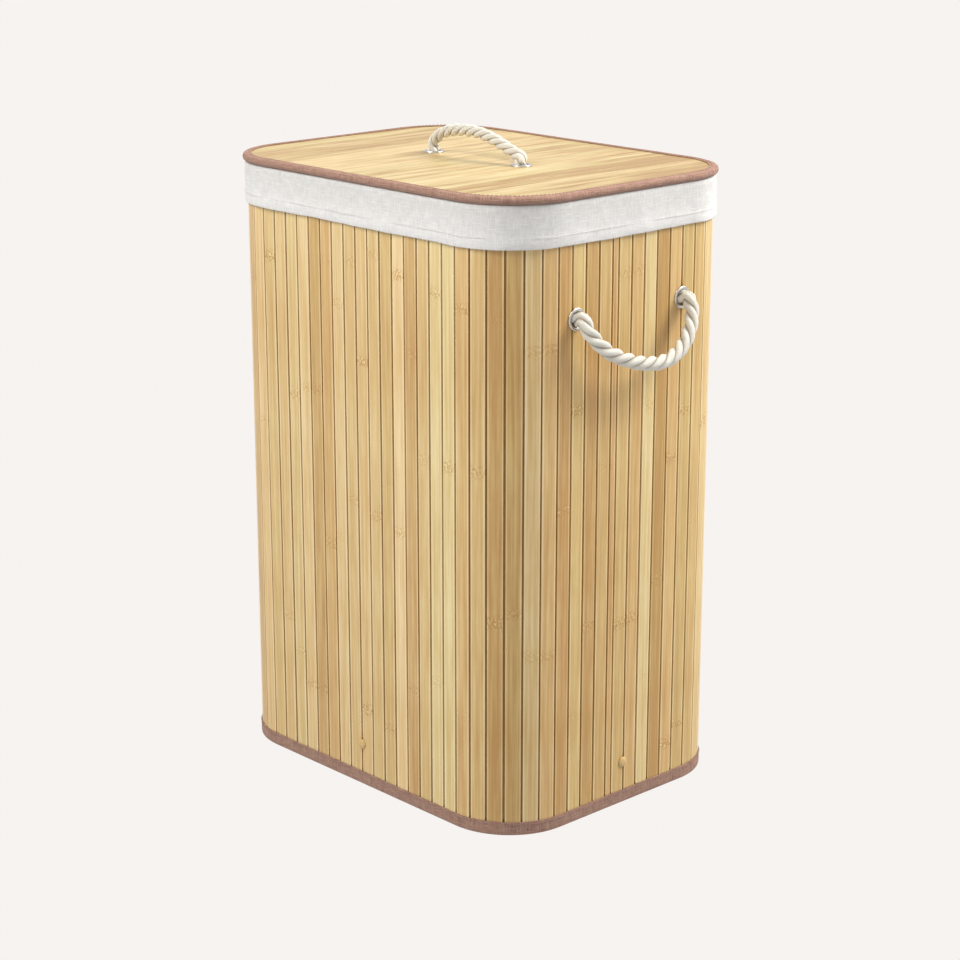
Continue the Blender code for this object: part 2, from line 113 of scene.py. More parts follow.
# Worked out from them.
INSET = SLAT_THICK + GAP
HALF_X, HALF_Y = BACKING_HIGH.x + INSET, (BACKING_HIGH.y - BACKING_LOW.y) / 2 + INSET
WALL_LOW, WALL_TOP = BACKING_LOW.z, BACKING_HIGH.z
PERIMETER = 4 * (HALF_X - CORNER) + 4 * (HALF_Y - CORNER) + 2 * math.pi * CORNER
SLAT_PITCH = (PERIMETER - NARROW_SLAT) / SLAT_COUNT
FIRST_EDGE = SEAM_Y + NARROW_SLAT / 2  # where the slats start, going round from the narrow one
INNER_LEG = INSET + CLOTH + GAP
SLAT_TOP = LID_TOP - CLOTH - GAP
MOUTH = 2 * GAP + EYELET_PROUD
SIDE_AXIS_X = HALF_X + MOUTH + ROPE / 2 + GAP
LID_AXIS_Z = SLAT_TOP + MOUTH + LID_ROPE_THICK / 2 + GAP
SIDE_WALL = SLAT_THICK + GAP + CLOTH
LID_WALL = SLAT_TOP - LID_LOW - CLOTH - GAP


# ---------------------------------------------------------------- camera, lights, stage

CAMERA_AZIMUTH = 46.84
CAMERA_ELEVATION = 16.35
CAMERA_DISTANCE = 2.293
CAMERA_LENS = 88.8375  # millimetres, on a sensor 36 wide
MIDDLE = Vector((0, 0, 0.300))  # what the camera and the lights are aimed at
CAMERA_RIGHT, CAMERA_DOWN = 0.0033, 0.0249
PAPER = (0.930, 0.896, 0.871)
GROUND_GLOW, SKY_GLOW = 0.86, 0.26  # light from the pale floor and from above
LEFT_POWER, RIGHT_POWER = 59, 92  # watts
LIGHT_DISTANCE = 2.8


def toward(azimuth, elevation):
    """Direction from the object to something at these angles, in degrees from the front and up."""
    turn, rise = math.radians(azimuth), math.radians(elevation)
    return Vector((math.sin(turn) * math.cos(rise), -math.cos(turn) * math.cos(rise), math.sin(rise)))


def add_aimed(name, data, aim, back, distance):
    """A camera or a lamp at a distance behind the point that it looks at."""
    made = bpy.data.objects.new(name, data)
    bpy.context.scene.collection.objects.link(made)
    made.location = aim + back * distance
    made.rotation_mode = "QUATERNION"
    made.rotation_quaternion = (-back).to_track_quat("-Z", "Y")
    return made


def add_camera():
    back = toward(CAMERA_AZIMUTH, CAMERA_ELEVATION)
    turn = math.radians(CAMERA_AZIMUTH)
    right = Vector((math.cos(turn), math.sin(turn), 0))
    data = bpy.data.cameras.new("camera")
    data.sensor_width = 36
    data.lens = CAMERA_LENS
    data.clip_end = 30
    aim = MIDDLE + right * CAMERA_RIGHT - back.cross(right) * CAMERA_DOWN
    bpy.context.scene.camera = add_aimed("camera", data, aim, back, CAMERA_DISTANCE)


def add_light(name, azimuth, elevation, size, power):
    """A square soft box round the object, aimed at its middle."""
    data = bpy.data.lights.new(name, "AREA")
    data.shape = "SQUARE"
    data.size = size
    data.energy = power
    data.color = (1.0, 0.995, 0.985)
    add_aimed(name, data, MIDDLE, toward(azimuth, elevation), LIGHT_DISTANCE)


def add_stage(name, bm):
    """A plain paper surface. It glows by itself and throws no light on the object."""
    stage = new_object(name, bm)
    paper = Recipe(name, 1.0)
    paper.fix({"Base Color": (0, 0, 0, 1), "Specular IOR Level": 0,
               "Emission Color": (*PAPER, 1), "Emission Strength": 1})
    stage.data.materials.append(paper.made)
    stage.visible_diffuse = False
    stage.visible_shadow = False


def add_studio():
    """Pale light from all round, stronger from the floor, with two soft boxes and the backdrop."""
    world = bpy.data.worlds.new("studio")
    world.use_nodes = True
    nodes, links = world.node_tree.nodes, world.node_tree.links
    background, direction, split, fade = nodes["Background"], *(
        nodes.new("ShaderNode" + kind) for kind in ("TexCoord", "SeparateXYZ", "MapRange")
    )
    background.inputs["Color"].default_value = (0.985, 0.990, 1.0, 1)
    for socket, value in (("From Min", -1), ("From Max", 1), ("To Min", GROUND_GLOW), ("To Max", SKY_GLOW)):
        fade.inputs[socket].default_value = value
    links.new(direction.outputs["Generated"], split.inputs[0])
    links.new(split.outputs["Z"], fade.inputs["Value"])
    links.new(fade.outputs["Result"], background.inputs["Strength"])
    bpy.context.scene.world = world
    bpy.context.scene.view_settings.view_transform = "Standard"
    add_light("left_box", -8, 50, 1.5, LEFT_POWER)
    add_light("right_box", 143, 44, 1.3, RIGHT_POWER)
    floor, dome = bmesh.new(), bmesh.new()
    bmesh.ops.create_grid(floor, x_segments=2, y_segments=2, size=14)
    bmesh.ops.create_uvsphere(dome, u_segments=32, v_segments=16, radius=13)
    add_stage("studio_floor", floor)
    add_stage("studio_dome", dome)


# ---------------------------------------------------------------- mesh tools

def new_object(name, bm, smooth_angle=None):
    mesh = bpy.data.meshes.new(name)
    bm.normal_update()
    bm.to_mesh(mesh)
    bm.free()
    made = bpy.data.objects.new(name, mesh)
    bpy.context.scene.collection.objects.link(made)
    if smooth_angle is not None:
        mesh.shade_smooth()
        mesh.set_sharp_from_angle(angle=math.radians(smooth_angle))
    return made


def closed_object(name, bm, smooth_angle):
    bmesh.ops.recalc_face_normals(bm, faces=bm.faces)
    return new_object(name, bm, smooth_angle)


def thicken(obj, thickness):
    solid = obj.modifiers.new("thickness", "SOLIDIFY")
    solid.thickness = thickness
    solid.offset = 0


def add_piece(obj, made_of, body, nodes=()):
    """Give a piece its material and its body, and hide the CAD nodes that it stands for."""
    obj.data.materials.clear()
    obj.data.materials.append(made_of)
    if body:
        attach(obj, body)
    if nodes:
        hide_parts(*nodes)
    return obj


def layer(kinds, name):
    """A mesh layer of this name, made at its first use."""
    return kinds.get(name) or kinds.new(name)


def loft(bm, rows, closed_rows=True, closed_loft=False, cap=False, lay=None, shift=(0, 0)):
    """Quads between rows of points. lay gives each point's (u, v) in metres by its indexes."""
    uv = layer(bm.loops.layers.uv, "lay")
    verts = [[bm.verts.new(p) for p in row] for row in rows]
    count = len(rows[0])
    across = [0.0]
    first = rows[len(rows) // 2]
    for i in range(count):
        across.append(across[-1] + (Vector(first[(i + 1) % count]) - Vector(first[i])).length)
    along = [0.0]
    for row, following in zip(rows, rows[1:] + rows[:1]):
        along.append(along[-1] + (Vector(following[0]) - Vector(row[0])).length)
    last_row = len(rows) if closed_loft else len(rows) - 1
    last = count if closed_rows else count - 1
    for r in range(last_row):
        for i in range(last):
            j, s = (i + 1) % count, (r + 1) % len(rows)
            face = bm.faces.new((verts[r][i], verts[r][j], verts[s][j], verts[s][i]))
            corners = ((i, r), (i + 1, r), (i + 1, r + 1), (i, r + 1))
            for loop, (u, v) in zip(face.loops, corners):
                place = lay(u, v) if lay else (across[u], along[v])
                loop[uv].uv = (place[0] + shift[0], place[1] + shift[1])
    if cap:
        for row, flip in ((verts[0], True), (verts[-1], False)):
            face = bm.faces.new(row[::-1] if flip else row)
            for loop in face.loops:
                loop[uv].uv = shift
    return verts


def lay_flat(bm):
    """Cloth or wood coordinates straight from x and y."""
    uv = bm.loops.layers.uv["lay"]
    for face in bm.faces:
        for loop in face.loops:
            loop[uv].uv = loop.vert.co.xy


def tone_faces(bm, first, layer, tone):
    """Give every face from number first on the same tone."""
    bm.faces.ensure_lookup_table()
    for face in bm.faces[first:]:
        for loop in face.loops:
            loop[layer].uv = tone


def bake_modifiers(obj):
    bpy.context.view_layer.update()
    graph = bpy.context.evaluated_depsgraph_get()
    finished = bpy.data.meshes.new_from_object(obj.evaluated_get(graph), depsgraph=graph)
    obj.modifiers.clear()
    obj.data = finished


def punch(obj, holes):
    """Cut round holes right through a piece. A hole is (place, direction, radius)."""
    tools = []
    for place, direction, radius in holes:
        bm = bmesh.new()
        bmesh.ops.create_cone(bm, cap_ends=True, segments=48, radius1=radius, radius2=radius, depth=0.02)
        tool = new_object("punch", bm)
        turn = Vector(direction).to_track_quat("Z", "Y").to_matrix().to_4x4()
        tool.matrix_world = Matrix.Translation(place) @ turn
        cut = obj.modifiers.new("punch", "BOOLEAN")
        cut.object = tool
        tools.append(tool)
    bake_modifiers(obj)
    for tool in tools:
        bpy.data.objects.remove(tool)


def smooth_route(points, per_piece):
    """Catmull-Rom curve through the points, with per_piece steps between two of them."""
    route = []
    padded = [2 * points[0] - points[1], *points, 2 * points[-1] - points[-2]]
    for a, b, c, d in zip(padded, padded[1:], padded[2:], padded[3:]):
        for step in range(per_piece):
            t = step / per_piece
            route.append(0.5 * (
                2 * b + (c - a) * t + (2 * a - 5 * b + 4 * c - d) * t * t
                + (3 * b - a - 3 * c + d) * t ** 3
            ))
    return [*route, points[-1]]


def evenly(points, step):
    """The same line with points about step apart."""
    lengths = [0.0]
    for a, b in zip(points, points[1:]):
        lengths.append(lengths[-1] + (b - a).length)
    count = max(2, round(lengths[-1] / step))
    placed, index = [], 0
    for i in range(count + 1):
        target = lengths[-1] * i / count
        while index < len(points) - 2 and lengths[index + 1] < target:
            index += 1
        span = lengths[index + 1] - lengths[index]
        share = (target - lengths[index]) / span if span else 0
        placed.append(points[index].lerp(points[index + 1], min(1, share)))
    return placed, lengths[-1]


def frames_along(points):
    """Place, sideways and upwards directions at each point, turning as little as possible."""
    tangents = [
        (points[min(i + 1, len(points) - 1)] - points[max(i - 1, 0)]).normalized()
        for i in range(len(points))
    ]
    side = tangents[0].orthogonal().normalized()
    found = []
    for i, (place, tangent) in enumerate(zip(points, tangents)):
        if i:
            side = tangents[i - 1].rotation_difference(tangent) @ side
        side = (side - tangent * side.dot(tangent)).normalized()
        found.append((place, side, tangent.cross(side)))
    return found


def circle(radius, sides):
    """Pairs of coordinates round a circle."""
    angles = (2 * math.pi * k / sides for k in range(sides))
    return [(radius * math.cos(a), radius * math.sin(a)) for a in angles]


def tube(bm, points, radius, sides, shift=(0, 0)):
    """A round tube; radius is a number or a function of the share of the length."""
    rows, total = [], len(points) - 1
    for i, (place, side, up) in enumerate(frames_along(points)):
        size = radius(i / total) if callable(radius) else radius
        rows.append([place + side * x + up * y for x, y in circle(size, sides)])
    loft(bm, rows, cap=True, shift=shift)


def outline_point(along, half_x, half_y, radius, inset=0.0):
    """Point on a rounded rectangle. along runs anticlockwise from the middle of +X."""
    reach_x, reach_y = half_x - radius, half_y - radius
    turn = radius * math.pi / 2
    stretches = (
        (reach_y, (reach_x, reach_y), 0),
        (2 * reach_x, (-reach_x, reach_y), 90),
        (2 * reach_y, (-reach_x, -reach_y), 180),
        (2 * reach_x, (reach_x, -reach_y), 270),
    )
    for straight, centre, start in stretches:
        facing = math.radians(start)
        out = Vector((math.cos(facing), math.sin(facing)))
        forward = Vector((-out.y, out.x))
        if along <= straight:
            return Vector(centre) + out * (radius - inset) + forward * (along - straight)
        along -= straight
        if along <= turn:
            angle = facing + along / radius
            return Vector(centre) + (radius - inset) * Vector((math.cos(angle), math.sin(angle)))
        along -= turn
    return Vector((half_x - inset, along - reach_y))


def wall_point(along, inset=0.0):
    """Point on the wall's outline, or inset from it, by the distance round the wall."""
    return outline_point(along % PERIMETER, HALF_X, HALF_Y, CORNER, inset)


def round_point(share, half_x, half_y, radius):
    """Point at a share of the way round a rounded rectangle."""
    total = 4 * (half_x - radius) + 4 * (half_y - radius) + 2 * math.pi * radius
    return outline_point(share % 1 * total, half_x, half_y, radius)


def round_out(share, half_x, half_y, radius):
    """The outward direction at that point."""
    inner = round_point(share, half_x - 0.001, half_y - 0.001, radius - 0.001)
    return (round_point(share, half_x, half_y, radius) - inner).normalized()


def slat_edges():
    """Where each slat of the curtain ends, starting behind the narrow slat."""
    return [FIRST_EDGE + SLAT_PITCH * i for i in range(SLAT_COUNT + 1)] + [FIRST_EDGE + PERIMETER]


def lift(point, z):
    return Vector((point.x, point.y, z))


def out_at(along):
    """The wall's outward direction."""
    return (wall_point(along) - wall_point(along, 0.001)).normalized()


# ---------------------------------------------------------------- materials

class Recipe:
    """A material, with one short call for each kind of node."""

    def __init__(self, name, roughness, metallic=0.0):
        self.made = bpy.data.materials.new(name)
        self.made.use_nodes = True
        self.nodes, self.links = self.made.node_tree.nodes, self.made.node_tree.links
        self.shader = self.nodes["Principled BSDF"]
        self.fix({"Roughness": roughness, "Metallic": metallic})

    def fix(self, values):
        """Constants on the shader's own sockets."""
        for name, value in values.items():
            self.shader.inputs[name].default_value = value

    def put(self, socket, value):
        if isinstance(value, bpy.types.NodeSocket):
            self.links.new(value, socket)
        else:
            socket.default_value = value

    def add(self, kind, inputs=(), output=0, **settings):
        """A node's output. inputs are in the order of its sockets, or by their names in a dict."""
        node = self.nodes.new("ShaderNode" + kind)
        for name, value in settings.items():
            setattr(node, name, value)
        for key, value in inputs.items() if isinstance(inputs, dict) else enumerate(inputs):
            self.put(node.inputs[key], value)
        return node.outputs[output]

    def lay(self, name="lay"):
        return self.add("UVMap", uv_map=name)

    def attribute(self, name):
        return self.add("Attribute", output="Fac", attribute_name=name)

    def stretch(self, vector, scale, offset=(0, 0, 0)):
        return self.add("VectorMath", (vector, scale, offset), operation="MULTIPLY_ADD")

    def split(self, vector):
        return self.add("SeparateXYZ", (vector,)).node.outputs

    def noise(self, vector, scale=1.0, detail=3.0, rough=0.55):
        inputs = {"Vector": vector, "Scale": scale, "Detail": detail, "Roughness": rough}
        return self.add("TexNoise", inputs, "Fac")

    def math(self, operation, a, b=0.0, c=0.0, clamp=False):
        return self.add("Math", (a, b, c), operation=operation, use_clamp=clamp)

    def vary(self, base, value, amount, middle=0.5):
        """base, with so much of value's distance from its middle added."""
        return self.math("MULTIPLY_ADD", self.math("SUBTRACT", value, middle), amount, base)

    def ramp(self, value, stops):
        """stops are (position, colour) pairs."""
        output = self.add("ValToRGB", (value,))
        elements = output.node.color_ramp.elements
        while len(elements) < len(stops):
            elements.new(0.5)
        for element, (position, colour) in zip(elements, stops):
            element.position = position
            element.color = (*colour, 1)
        return output

    def mix(self, share, a, b, blend="MIX"):
        node = self.add("Mix", data_type="RGBA", blend_type=blend).node
        self.put(node.inputs["Factor"], share)
        sockets = [s for s in node.inputs if s.type == "RGBA"]
        for socket, value in zip(sockets, (a, b)):
            self.put(socket, (*value, 1) if isinstance(value, tuple) else value)
        return next(s for s in node.outputs if s.type == "RGBA")

    def colour(self, value):
        self.put(self.shader.inputs["Base Color"], value)

    def bump(self, height, strength, distance):
        normal = self.add("Bump", {"Strength": strength, "Distance": distance, "Height": height})
        self.put(self.shader.inputs["Normal"], normal)

    def roughness(self, value, low, high):
        rough = self.add("MapRange", {"Value": value, "To Min": low, "To Max": high})
        self.put(self.shader.inputs["Roughness"], rough)


def bamboo(name, dark, middle, pale, streak, band, patch):
    """Lacquered bamboo strip: u runs across the strip, v along its fibres."""
    made = Recipe(name, 0.42)
    lay, tone = made.lay(), made.split(made.lay("tone"))
    own = made.stretch(made.add("CombineXYZ", (tone[0], tone[1])), (37.0, 53.0, 0.0))
    moved = made.add("VectorMath", (made.stretch(lay, (400.0, 7.0, 1.0)), own), operation="ADD")
    fibres = made.noise(moved, 1.0, 4.0, 0.6)
    broad = made.noise(made.stretch(lay, (130.0, 9.0, 1.0), (3.1, 7.7, 0.0)), 1.0, 2.0, 0.5)
    cloud = made.noise(made.stretch(lay, (60.0, 26.0, 1.0), (9.0, 2.0, 0.0)), 1.0, 3.0, 0.6)
    shade = made.vary(made.vary(made.vary(tone[0], fibres, streak), broad, band), cloud, patch)
    speck = made.noise(made.stretch(lay, (620.0, 360.0, 1.0), (1.0, 4.0, 0.0)), 1.0, 3.0, 0.65)
    speck = made.vary(-0.05, speck, 6.0, 0.53)
    shade = made.math("MULTIPLY_ADD", speck, made.attribute("knuckle"), shade)
    # Painted light: this attribute makes slat edges lighter, partly the canes' own pale rounded edges and
    # partly a painted highlight; on the lid its negative values paint shade.
    shade = made.math("MULTIPLY_ADD", made.attribute("pale_edge_and_painted_light"), 0.45, shade)
    colour = made.ramp(shade, ((0.0, dark), (0.5, middle), (1.0, pale)))
    warm, plain, olive = (1.03, 0.98, 0.93), (1.0, 1.0, 0.98), (0.98, 1.01, 0.93)
    hue = made.ramp(tone[1], ((0.0, warm), (0.5, plain), (1.0, olive)))
    made.colour(made.mix(1.0, colour, hue, "MULTIPLY"))
    made.roughness(fibres, 0.34, 0.52)
    made.bump(made.math("MULTIPLY_ADD", fibres, 0.7, made.math("MULTIPLY", broad, 0.6)), 0.35, 0.0004)
    made.fix({"Specular IOR Level": 0.4, "Coat Weight": 0.06, "Coat Roughness": 0.30})
    return made.made


def woven(name, dark, pale, pitch, yarn, roughness, slub, sheen):
    """Plain weave on the piece's own cloth coordinates, in metres. yarn is how wide a slub is."""
    made = Recipe(name, roughness)
    lay = made.lay()
    u, v, _ = made.split(made.stretch(lay, (math.pi / pitch,) * 2 + (1.0,)))
    bend = made.math("MULTIPLY", made.noise(lay, 260.0, 2.0), 1.6)
    across, along = (made.math("SINE", made.math("ADD", way, bend)) for way in (u, v))
    crossing = made.math("MULTIPLY", made.math("MULTIPLY", across, along), 0.5)
    thick_u = made.noise(made.stretch(lay, (1.0 / yarn, 75.0, 1.0)), 1.0, 2.0, 0.7)
    thick_v = made.noise(made.stretch(lay, (75.0, 1.0 / yarn, 1.0), (5.0, 3.0, 0.0)), 1.0, 2.0, 0.7)
    slubs = made.math("MAXIMUM", thick_u, thick_v)
    shade = made.vary(made.math("MULTIPLY_ADD", crossing, 0.30, 0.55), slubs, slub, 0.57)
    shade = made.vary(shade, made.noise(lay, 110.0, 5.0, 0.75), 0.75)
    # Painted shade: the cuff is darkened towards its top, where the lid's shadow falls; cloth without this
    # attribute is not changed.
    shade = made.math("MULTIPLY_ADD", made.attribute("painted_lid_shadow"), -0.42, shade)
    made.colour(made.ramp(shade, ((0.0, dark), (1.0, pale))))
    made.roughness(slubs, roughness - 0.08, min(1.0, roughness + 0.05))
    made.bump(made.math("MULTIPLY_ADD", slubs, 1.2, crossing), 0.6, 0.0003)
    made.fix({"Sheen Weight": sheen, "Sheen Roughness": 0.5, "Specular IOR Level": 0.25})
    return made.made


def twisted(name, painted_crease_shade, dark, pale):
    """Laid rope: u runs round the rope, v along it, and valley is 1 between two strands, where a dark colour
    is painted as shade.
    """
    made = Recipe(name, 0.85)
    lay = made.lay()
    u, v, _ = made.split(lay)
    yarn = made.math("SINE", made.math("MULTIPLY_ADD", v, 2600.0, made.math("MULTIPLY", u, 5200.0)))
    fluff = made.noise(made.stretch(lay, (620.0, 620.0, 1.0)), 1.0, 4.0, 0.7)
    shade = made.math("MULTIPLY_ADD", yarn, 0.22, made.math("MULTIPLY_ADD", fluff, 0.9, 0.40))
    shade = made.vary(shade, made.noise(lay, 70.0, 3.0), 0.35)
    colour = made.ramp(shade, ((0.1, dark), (0.75, pale)))
    # Painted shade: the valleys between strands are mixed towards a dark brown crease colour.
    valley = made.math("MULTIPLY", made.attribute("valley"), 0.85, clamp=True)
    made.colour(made.mix(valley, colour, painted_crease_shade))
    made.roughness(fluff, 0.78, 0.95)
    made.bump(made.math("MULTIPLY_ADD", yarn, 0.5, fluff), 0.8, 0.0006)
    made.fix({"Sheen Weight": 0.15, "Specular IOR Level": 0.3})
    return made.made


def plated(name, colour):
    """Bright plated metal, finely scratched and a little uneven."""
    made = Recipe(name, 0.24, 1.0)
    place = made.add("TexCoord", output="Object")
    scratch = made.noise(made.stretch(place, (2600.0, 2600.0, 300.0)))
    cloud = made.noise(place, 180.0)
    shade = made.math("MULTIPLY_ADD", scratch, 0.4, made.math("MULTIPLY", cloud, 0.6))
    made.colour(made.ramp(shade, ((0.25, tuple(0.72 * c for c in colour)), (0.7, colour))))
    made.roughness(shade, 0.16, 0.40)
    made.bump(shade, 0.15, 0.0002)
    return made.made


def timber(name, dark, pale, stretch, roughness):
    """Plain wood, or pressed board when stretch is even."""
    made = Recipe(name, roughness)
    place = made.add("TexCoord", output="Object")
    grain = made.noise(made.stretch(place, stretch), 1.0, 5.0, 0.6)
    cloud = made.noise(place, 30.0)
    shade = made.math("MULTIPLY_ADD", grain, 0.7, made.math("MULTIPLY", cloud, 0.3))
    made.colour(made.ramp(shade, ((0.3, dark), (0.7, pale))))
    made.roughness(grain, roughness - 0.1, roughness + 0.1)
    made.bump(grain, 0.3, 0.0003)
    return made.made


def make_materials():
    return {
        "wall": bamboo("bamboo_wall", (0.50, 0.275, 0.090), (0.67, 0.46, 0.192), (0.83, 0.665, 0.38),
                       1.2, 0.60, 0.35),
        "lid": bamboo("bamboo_lid", (0.35, 0.205, 0.078), (0.49, 0.36, 0.163), (0.60, 0.48, 0.262),
                      1.10, 1.90, 0.70),
        "tape": woven("binding_tape", (0.19, 0.096, 0.070), (0.50, 0.30, 0.215), 0.00085, 0.0009,
                      0.88, 2.6, 0.05),
        "thread": woven("binding_thread", (0.22, 0.12, 0.09), (0.50, 0.31, 0.24), 0.0004, 0.0008,
                        0.8, 0.8, 0.1),
        "backing": woven("backing_cloth", (0.34, 0.185, 0.070), (0.62, 0.37, 0.165), 0.0008, 0.0015,
                         0.95, 1.0, 0.05),
        "linen": woven("liner_linen", (0.61, 0.593, 0.565), (0.96, 0.942, 0.91), 0.00065, 0.0014,
                       0.92, 1.35, 0.10),
        "lining": woven("lid_lining", (0.36, 0.345, 0.32), (0.70, 0.68, 0.635), 0.00065, 0.0014,
                        0.92, 1.8, 0.05),
        # The rope's first colour is painted shade for the creases between its strands.
        "rope": twisted("cotton_rope", (0.34, 0.25, 0.15), (0.90, 0.805, 0.64), (1.0, 0.96, 0.85)),
        "metal": plated("eyelet_plate", (0.66, 0.64, 0.60)),
        "board": timber("pressed_board", (0.20, 0.13, 0.07), (0.42, 0.30, 0.18), (420.0,) * 3, 0.75),
        "wood": timber("block_timber", (0.38, 0.25, 0.12), (0.62, 0.45, 0.26), (40.0, 320.0, 320.0), 0.65),
    }


# ---------------------------------------------------------------- ropes

STRAND_OFF, STRAND_RADIUS = 0.222, 0.281  # shares of the rope's thickness
SIDE_LAY, LID_LAY = 3.1, 2.75  # length of one turn of a strand, in thicknesses
LOBE_POINTS = 12
ROPE_STEP = 0.0012


def lobe_profile():
    """Angle, radius and depth of valley round a three-strand rope's section."""
    reach = math.pi / 3
    widest = reach + math.asin(STRAND_OFF * math.sin(reach) / STRAND_RADIUS)
    found = []
    for strand in range(3):
        for k in range(LOBE_POINTS):
            turn = -widest + 2 * widest * k / LOBE_POINTS
            x = STRAND_OFF + STRAND_RADIUS * math.cos(turn)
            y = STRAND_RADIUS * math.sin(turn)
            valley = max(0.0, (abs(turn) / widest - 0.55) / 0.45) ** 2
            found.append((math.atan2(y, x) + strand * 2 * math.pi / 3, math.hypot(x, y), valley))
    return found


def make_rope(name, points, thick, turn_length, made_of, start_turn):
    """A laid rope of one continuous skin along a line of points."""
    line, length = evenly(points, ROPE_STEP)
    profile = lobe_profile()
    step = length / (len(line) - 1)
    rows = []
    for i, (place, side, up) in enumerate(frames_along(line)):
        twist = start_turn - 2 * math.pi * i * step / (turn_length * thick)
        rows.append([
            place + (side * math.cos(a + twist) + up * math.sin(a + twist)) * r * thick
            for a, r, _ in profile
        ])
    bm = bmesh.new()
    valley = bm.verts.layers.float.new("valley")
    around = math.pi * thick
    verts = loft(bm, rows, cap=True, lay=lambda u, v: (around * u / len(profile), v * step))
    for row in verts:
        for vert, (_, _, depth) in zip(row, profile):
            vert[valley] = depth
    made = new_object(name, bm, 60)
    made.data.materials.append(made_of)
    return made, line, length


def make_knot(name, place, out, made_of, body):
    """The stopper behind an eyelet: three strands wound on themselves, with a short tail."""
    bm = bmesh.new()
    bm.verts.layers.float.new("valley")
    turn = Vector(out).to_track_quat("Z", "Y").to_matrix()
    strand, tail, steps = 0.0033, 0.006, 40
    wound = KNOT_LONG - tail
    for k in range(3):
        points = []
        for i in range(steps + 1):
            t = i / steps
            angle = 2 * math.pi * (k / 3 - 0.92 * t)
            off = 0.0030 + 0.0066 * math.sin(math.pi * t) ** 0.6
            depth = strand + (wound - strand) * t
            points.append(Vector((off * math.cos(angle), off * math.sin(angle), -depth)))
        last = points[-1]
        for i in range(1, 5):
            spread = 1 + 0.10 * i
            points.append(Vector((last.x * spread, last.y * spread, last.z - tail * i / 4 + 0.0004 * k)))
        placed = [Vector(place) + turn @ p for p in points]
        tube(bm, placed, lambda share: strand * (1.0 - 0.25 * max(0, share - 0.85) / 0.15), 14)
    return add_piece(new_object(f"{name}_rope_knot", bm, 60), made_of, body, [f"{name}_rope_end"])


def side_rope_points(side):
    through = [
        Vector((side * x, side * SIDE_ROPE[0][0], SIDE_EYELET_Z))
        for x in (HALF_X - SIDE_WALL - 0.002, HALF_X, HALF_X + MOUTH + 0.002)
    ]
    hanging = [
        Vector((side * (SIDE_AXIS_X + out), side * along, SIDE_EYELET_Z - down))
        for along, down, out in SIDE_ROPE
    ]
    back = [Vector((p.x, -p.y, p.z)) for p in reversed(through)]
    return [*through, *hanging, *back]


def lid_rope_points():
    low = LID_LOW - 0.001
    through = [Vector((-LID_EYELET_X, 0, z)) for z in (low, LID_TOP - 0.004, LID_TOP + 0.002)]
    arch = [Vector((along, 0, LID_AXIS_Z + up)) for along, up in LID_ROPE]
    back = [Vector((-p.x, p.y, p.z)) for p in reversed(through)]
    return [*through, *arch, *back]


def add_ropes(made_of):
    for name, side in (("left", -1), ("right", 1)):
        points = smooth_route(side_rope_points(side), 6)
        rope, line, length = make_rope(f"{name}_carry_rope", points, ROPE, SIDE_LAY, made_of, 0.6 * side)
        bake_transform(rope, "hamper", f"{name}_handle",
                 start=(side * (SIDE_AXIS_X - 0.0050), 0, SIDE_EYELET_Z + 0.001),
                 end=(side * (SIDE_AXIS_X + 0.0040), 0, SIDE_EYELET_Z - 0.009))
        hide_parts(f"{name}_rope_handle")
        behind = side * (HALF_X - SIDE_WALL - 2 * GAP - EYELET_PROUD)
        knots = [
            make_knot(f"{name}_{end}", (behind, y, SIDE_EYELET_Z), (side, 0, 0), made_of, "hamper")
            for end, y in (("front", -SIDE_EYELET_Y), ("back", SIDE_EYELET_Y))
        ]
    points = smooth_route(lid_rope_points(), 6)
    rope, line, length = make_rope("lid_grip_rope", points, LID_ROPE_THICK, LID_LAY, made_of, 0.3)
    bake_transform(rope, "lid", "lid_handle",
             start=(0, 0, LID_AXIS_Z - LID_ROPE_THICK / 2), end=(0, 0, LID_AXIS_Z + LID_ROPE_THICK / 2))
    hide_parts("lid_rope_handle")
    below = SLAT_TOP - LID_WALL - 2 * GAP - EYELET_PROUD
    knots = [
        make_knot(f"lid_{end}", (x, 0, below), (0, 0, 1), made_of, "lid")
        for end, x in (("left", -LID_EYELET_X), ("right", LID_EYELET_X))
    ]


# ---------------------------------------------------------------- eyelets and pegs

def lathe(name, profile, place, out, steps, closed):
    """A turned piece: profile is (radius, height) pairs, and out is its axis."""
    turn = Vector(out).to_track_quat("Z", "Y").to_matrix()
    rows = [
        [Vector(place) + turn @ Vector((x, y, height)) for x, y in circle(radius, steps)]
        for radius, height in profile
    ]
    bm = bmesh.new()
    loft(bm, rows, closed_loft=closed, cap=not closed)
    return closed_object(name, bm, 40)


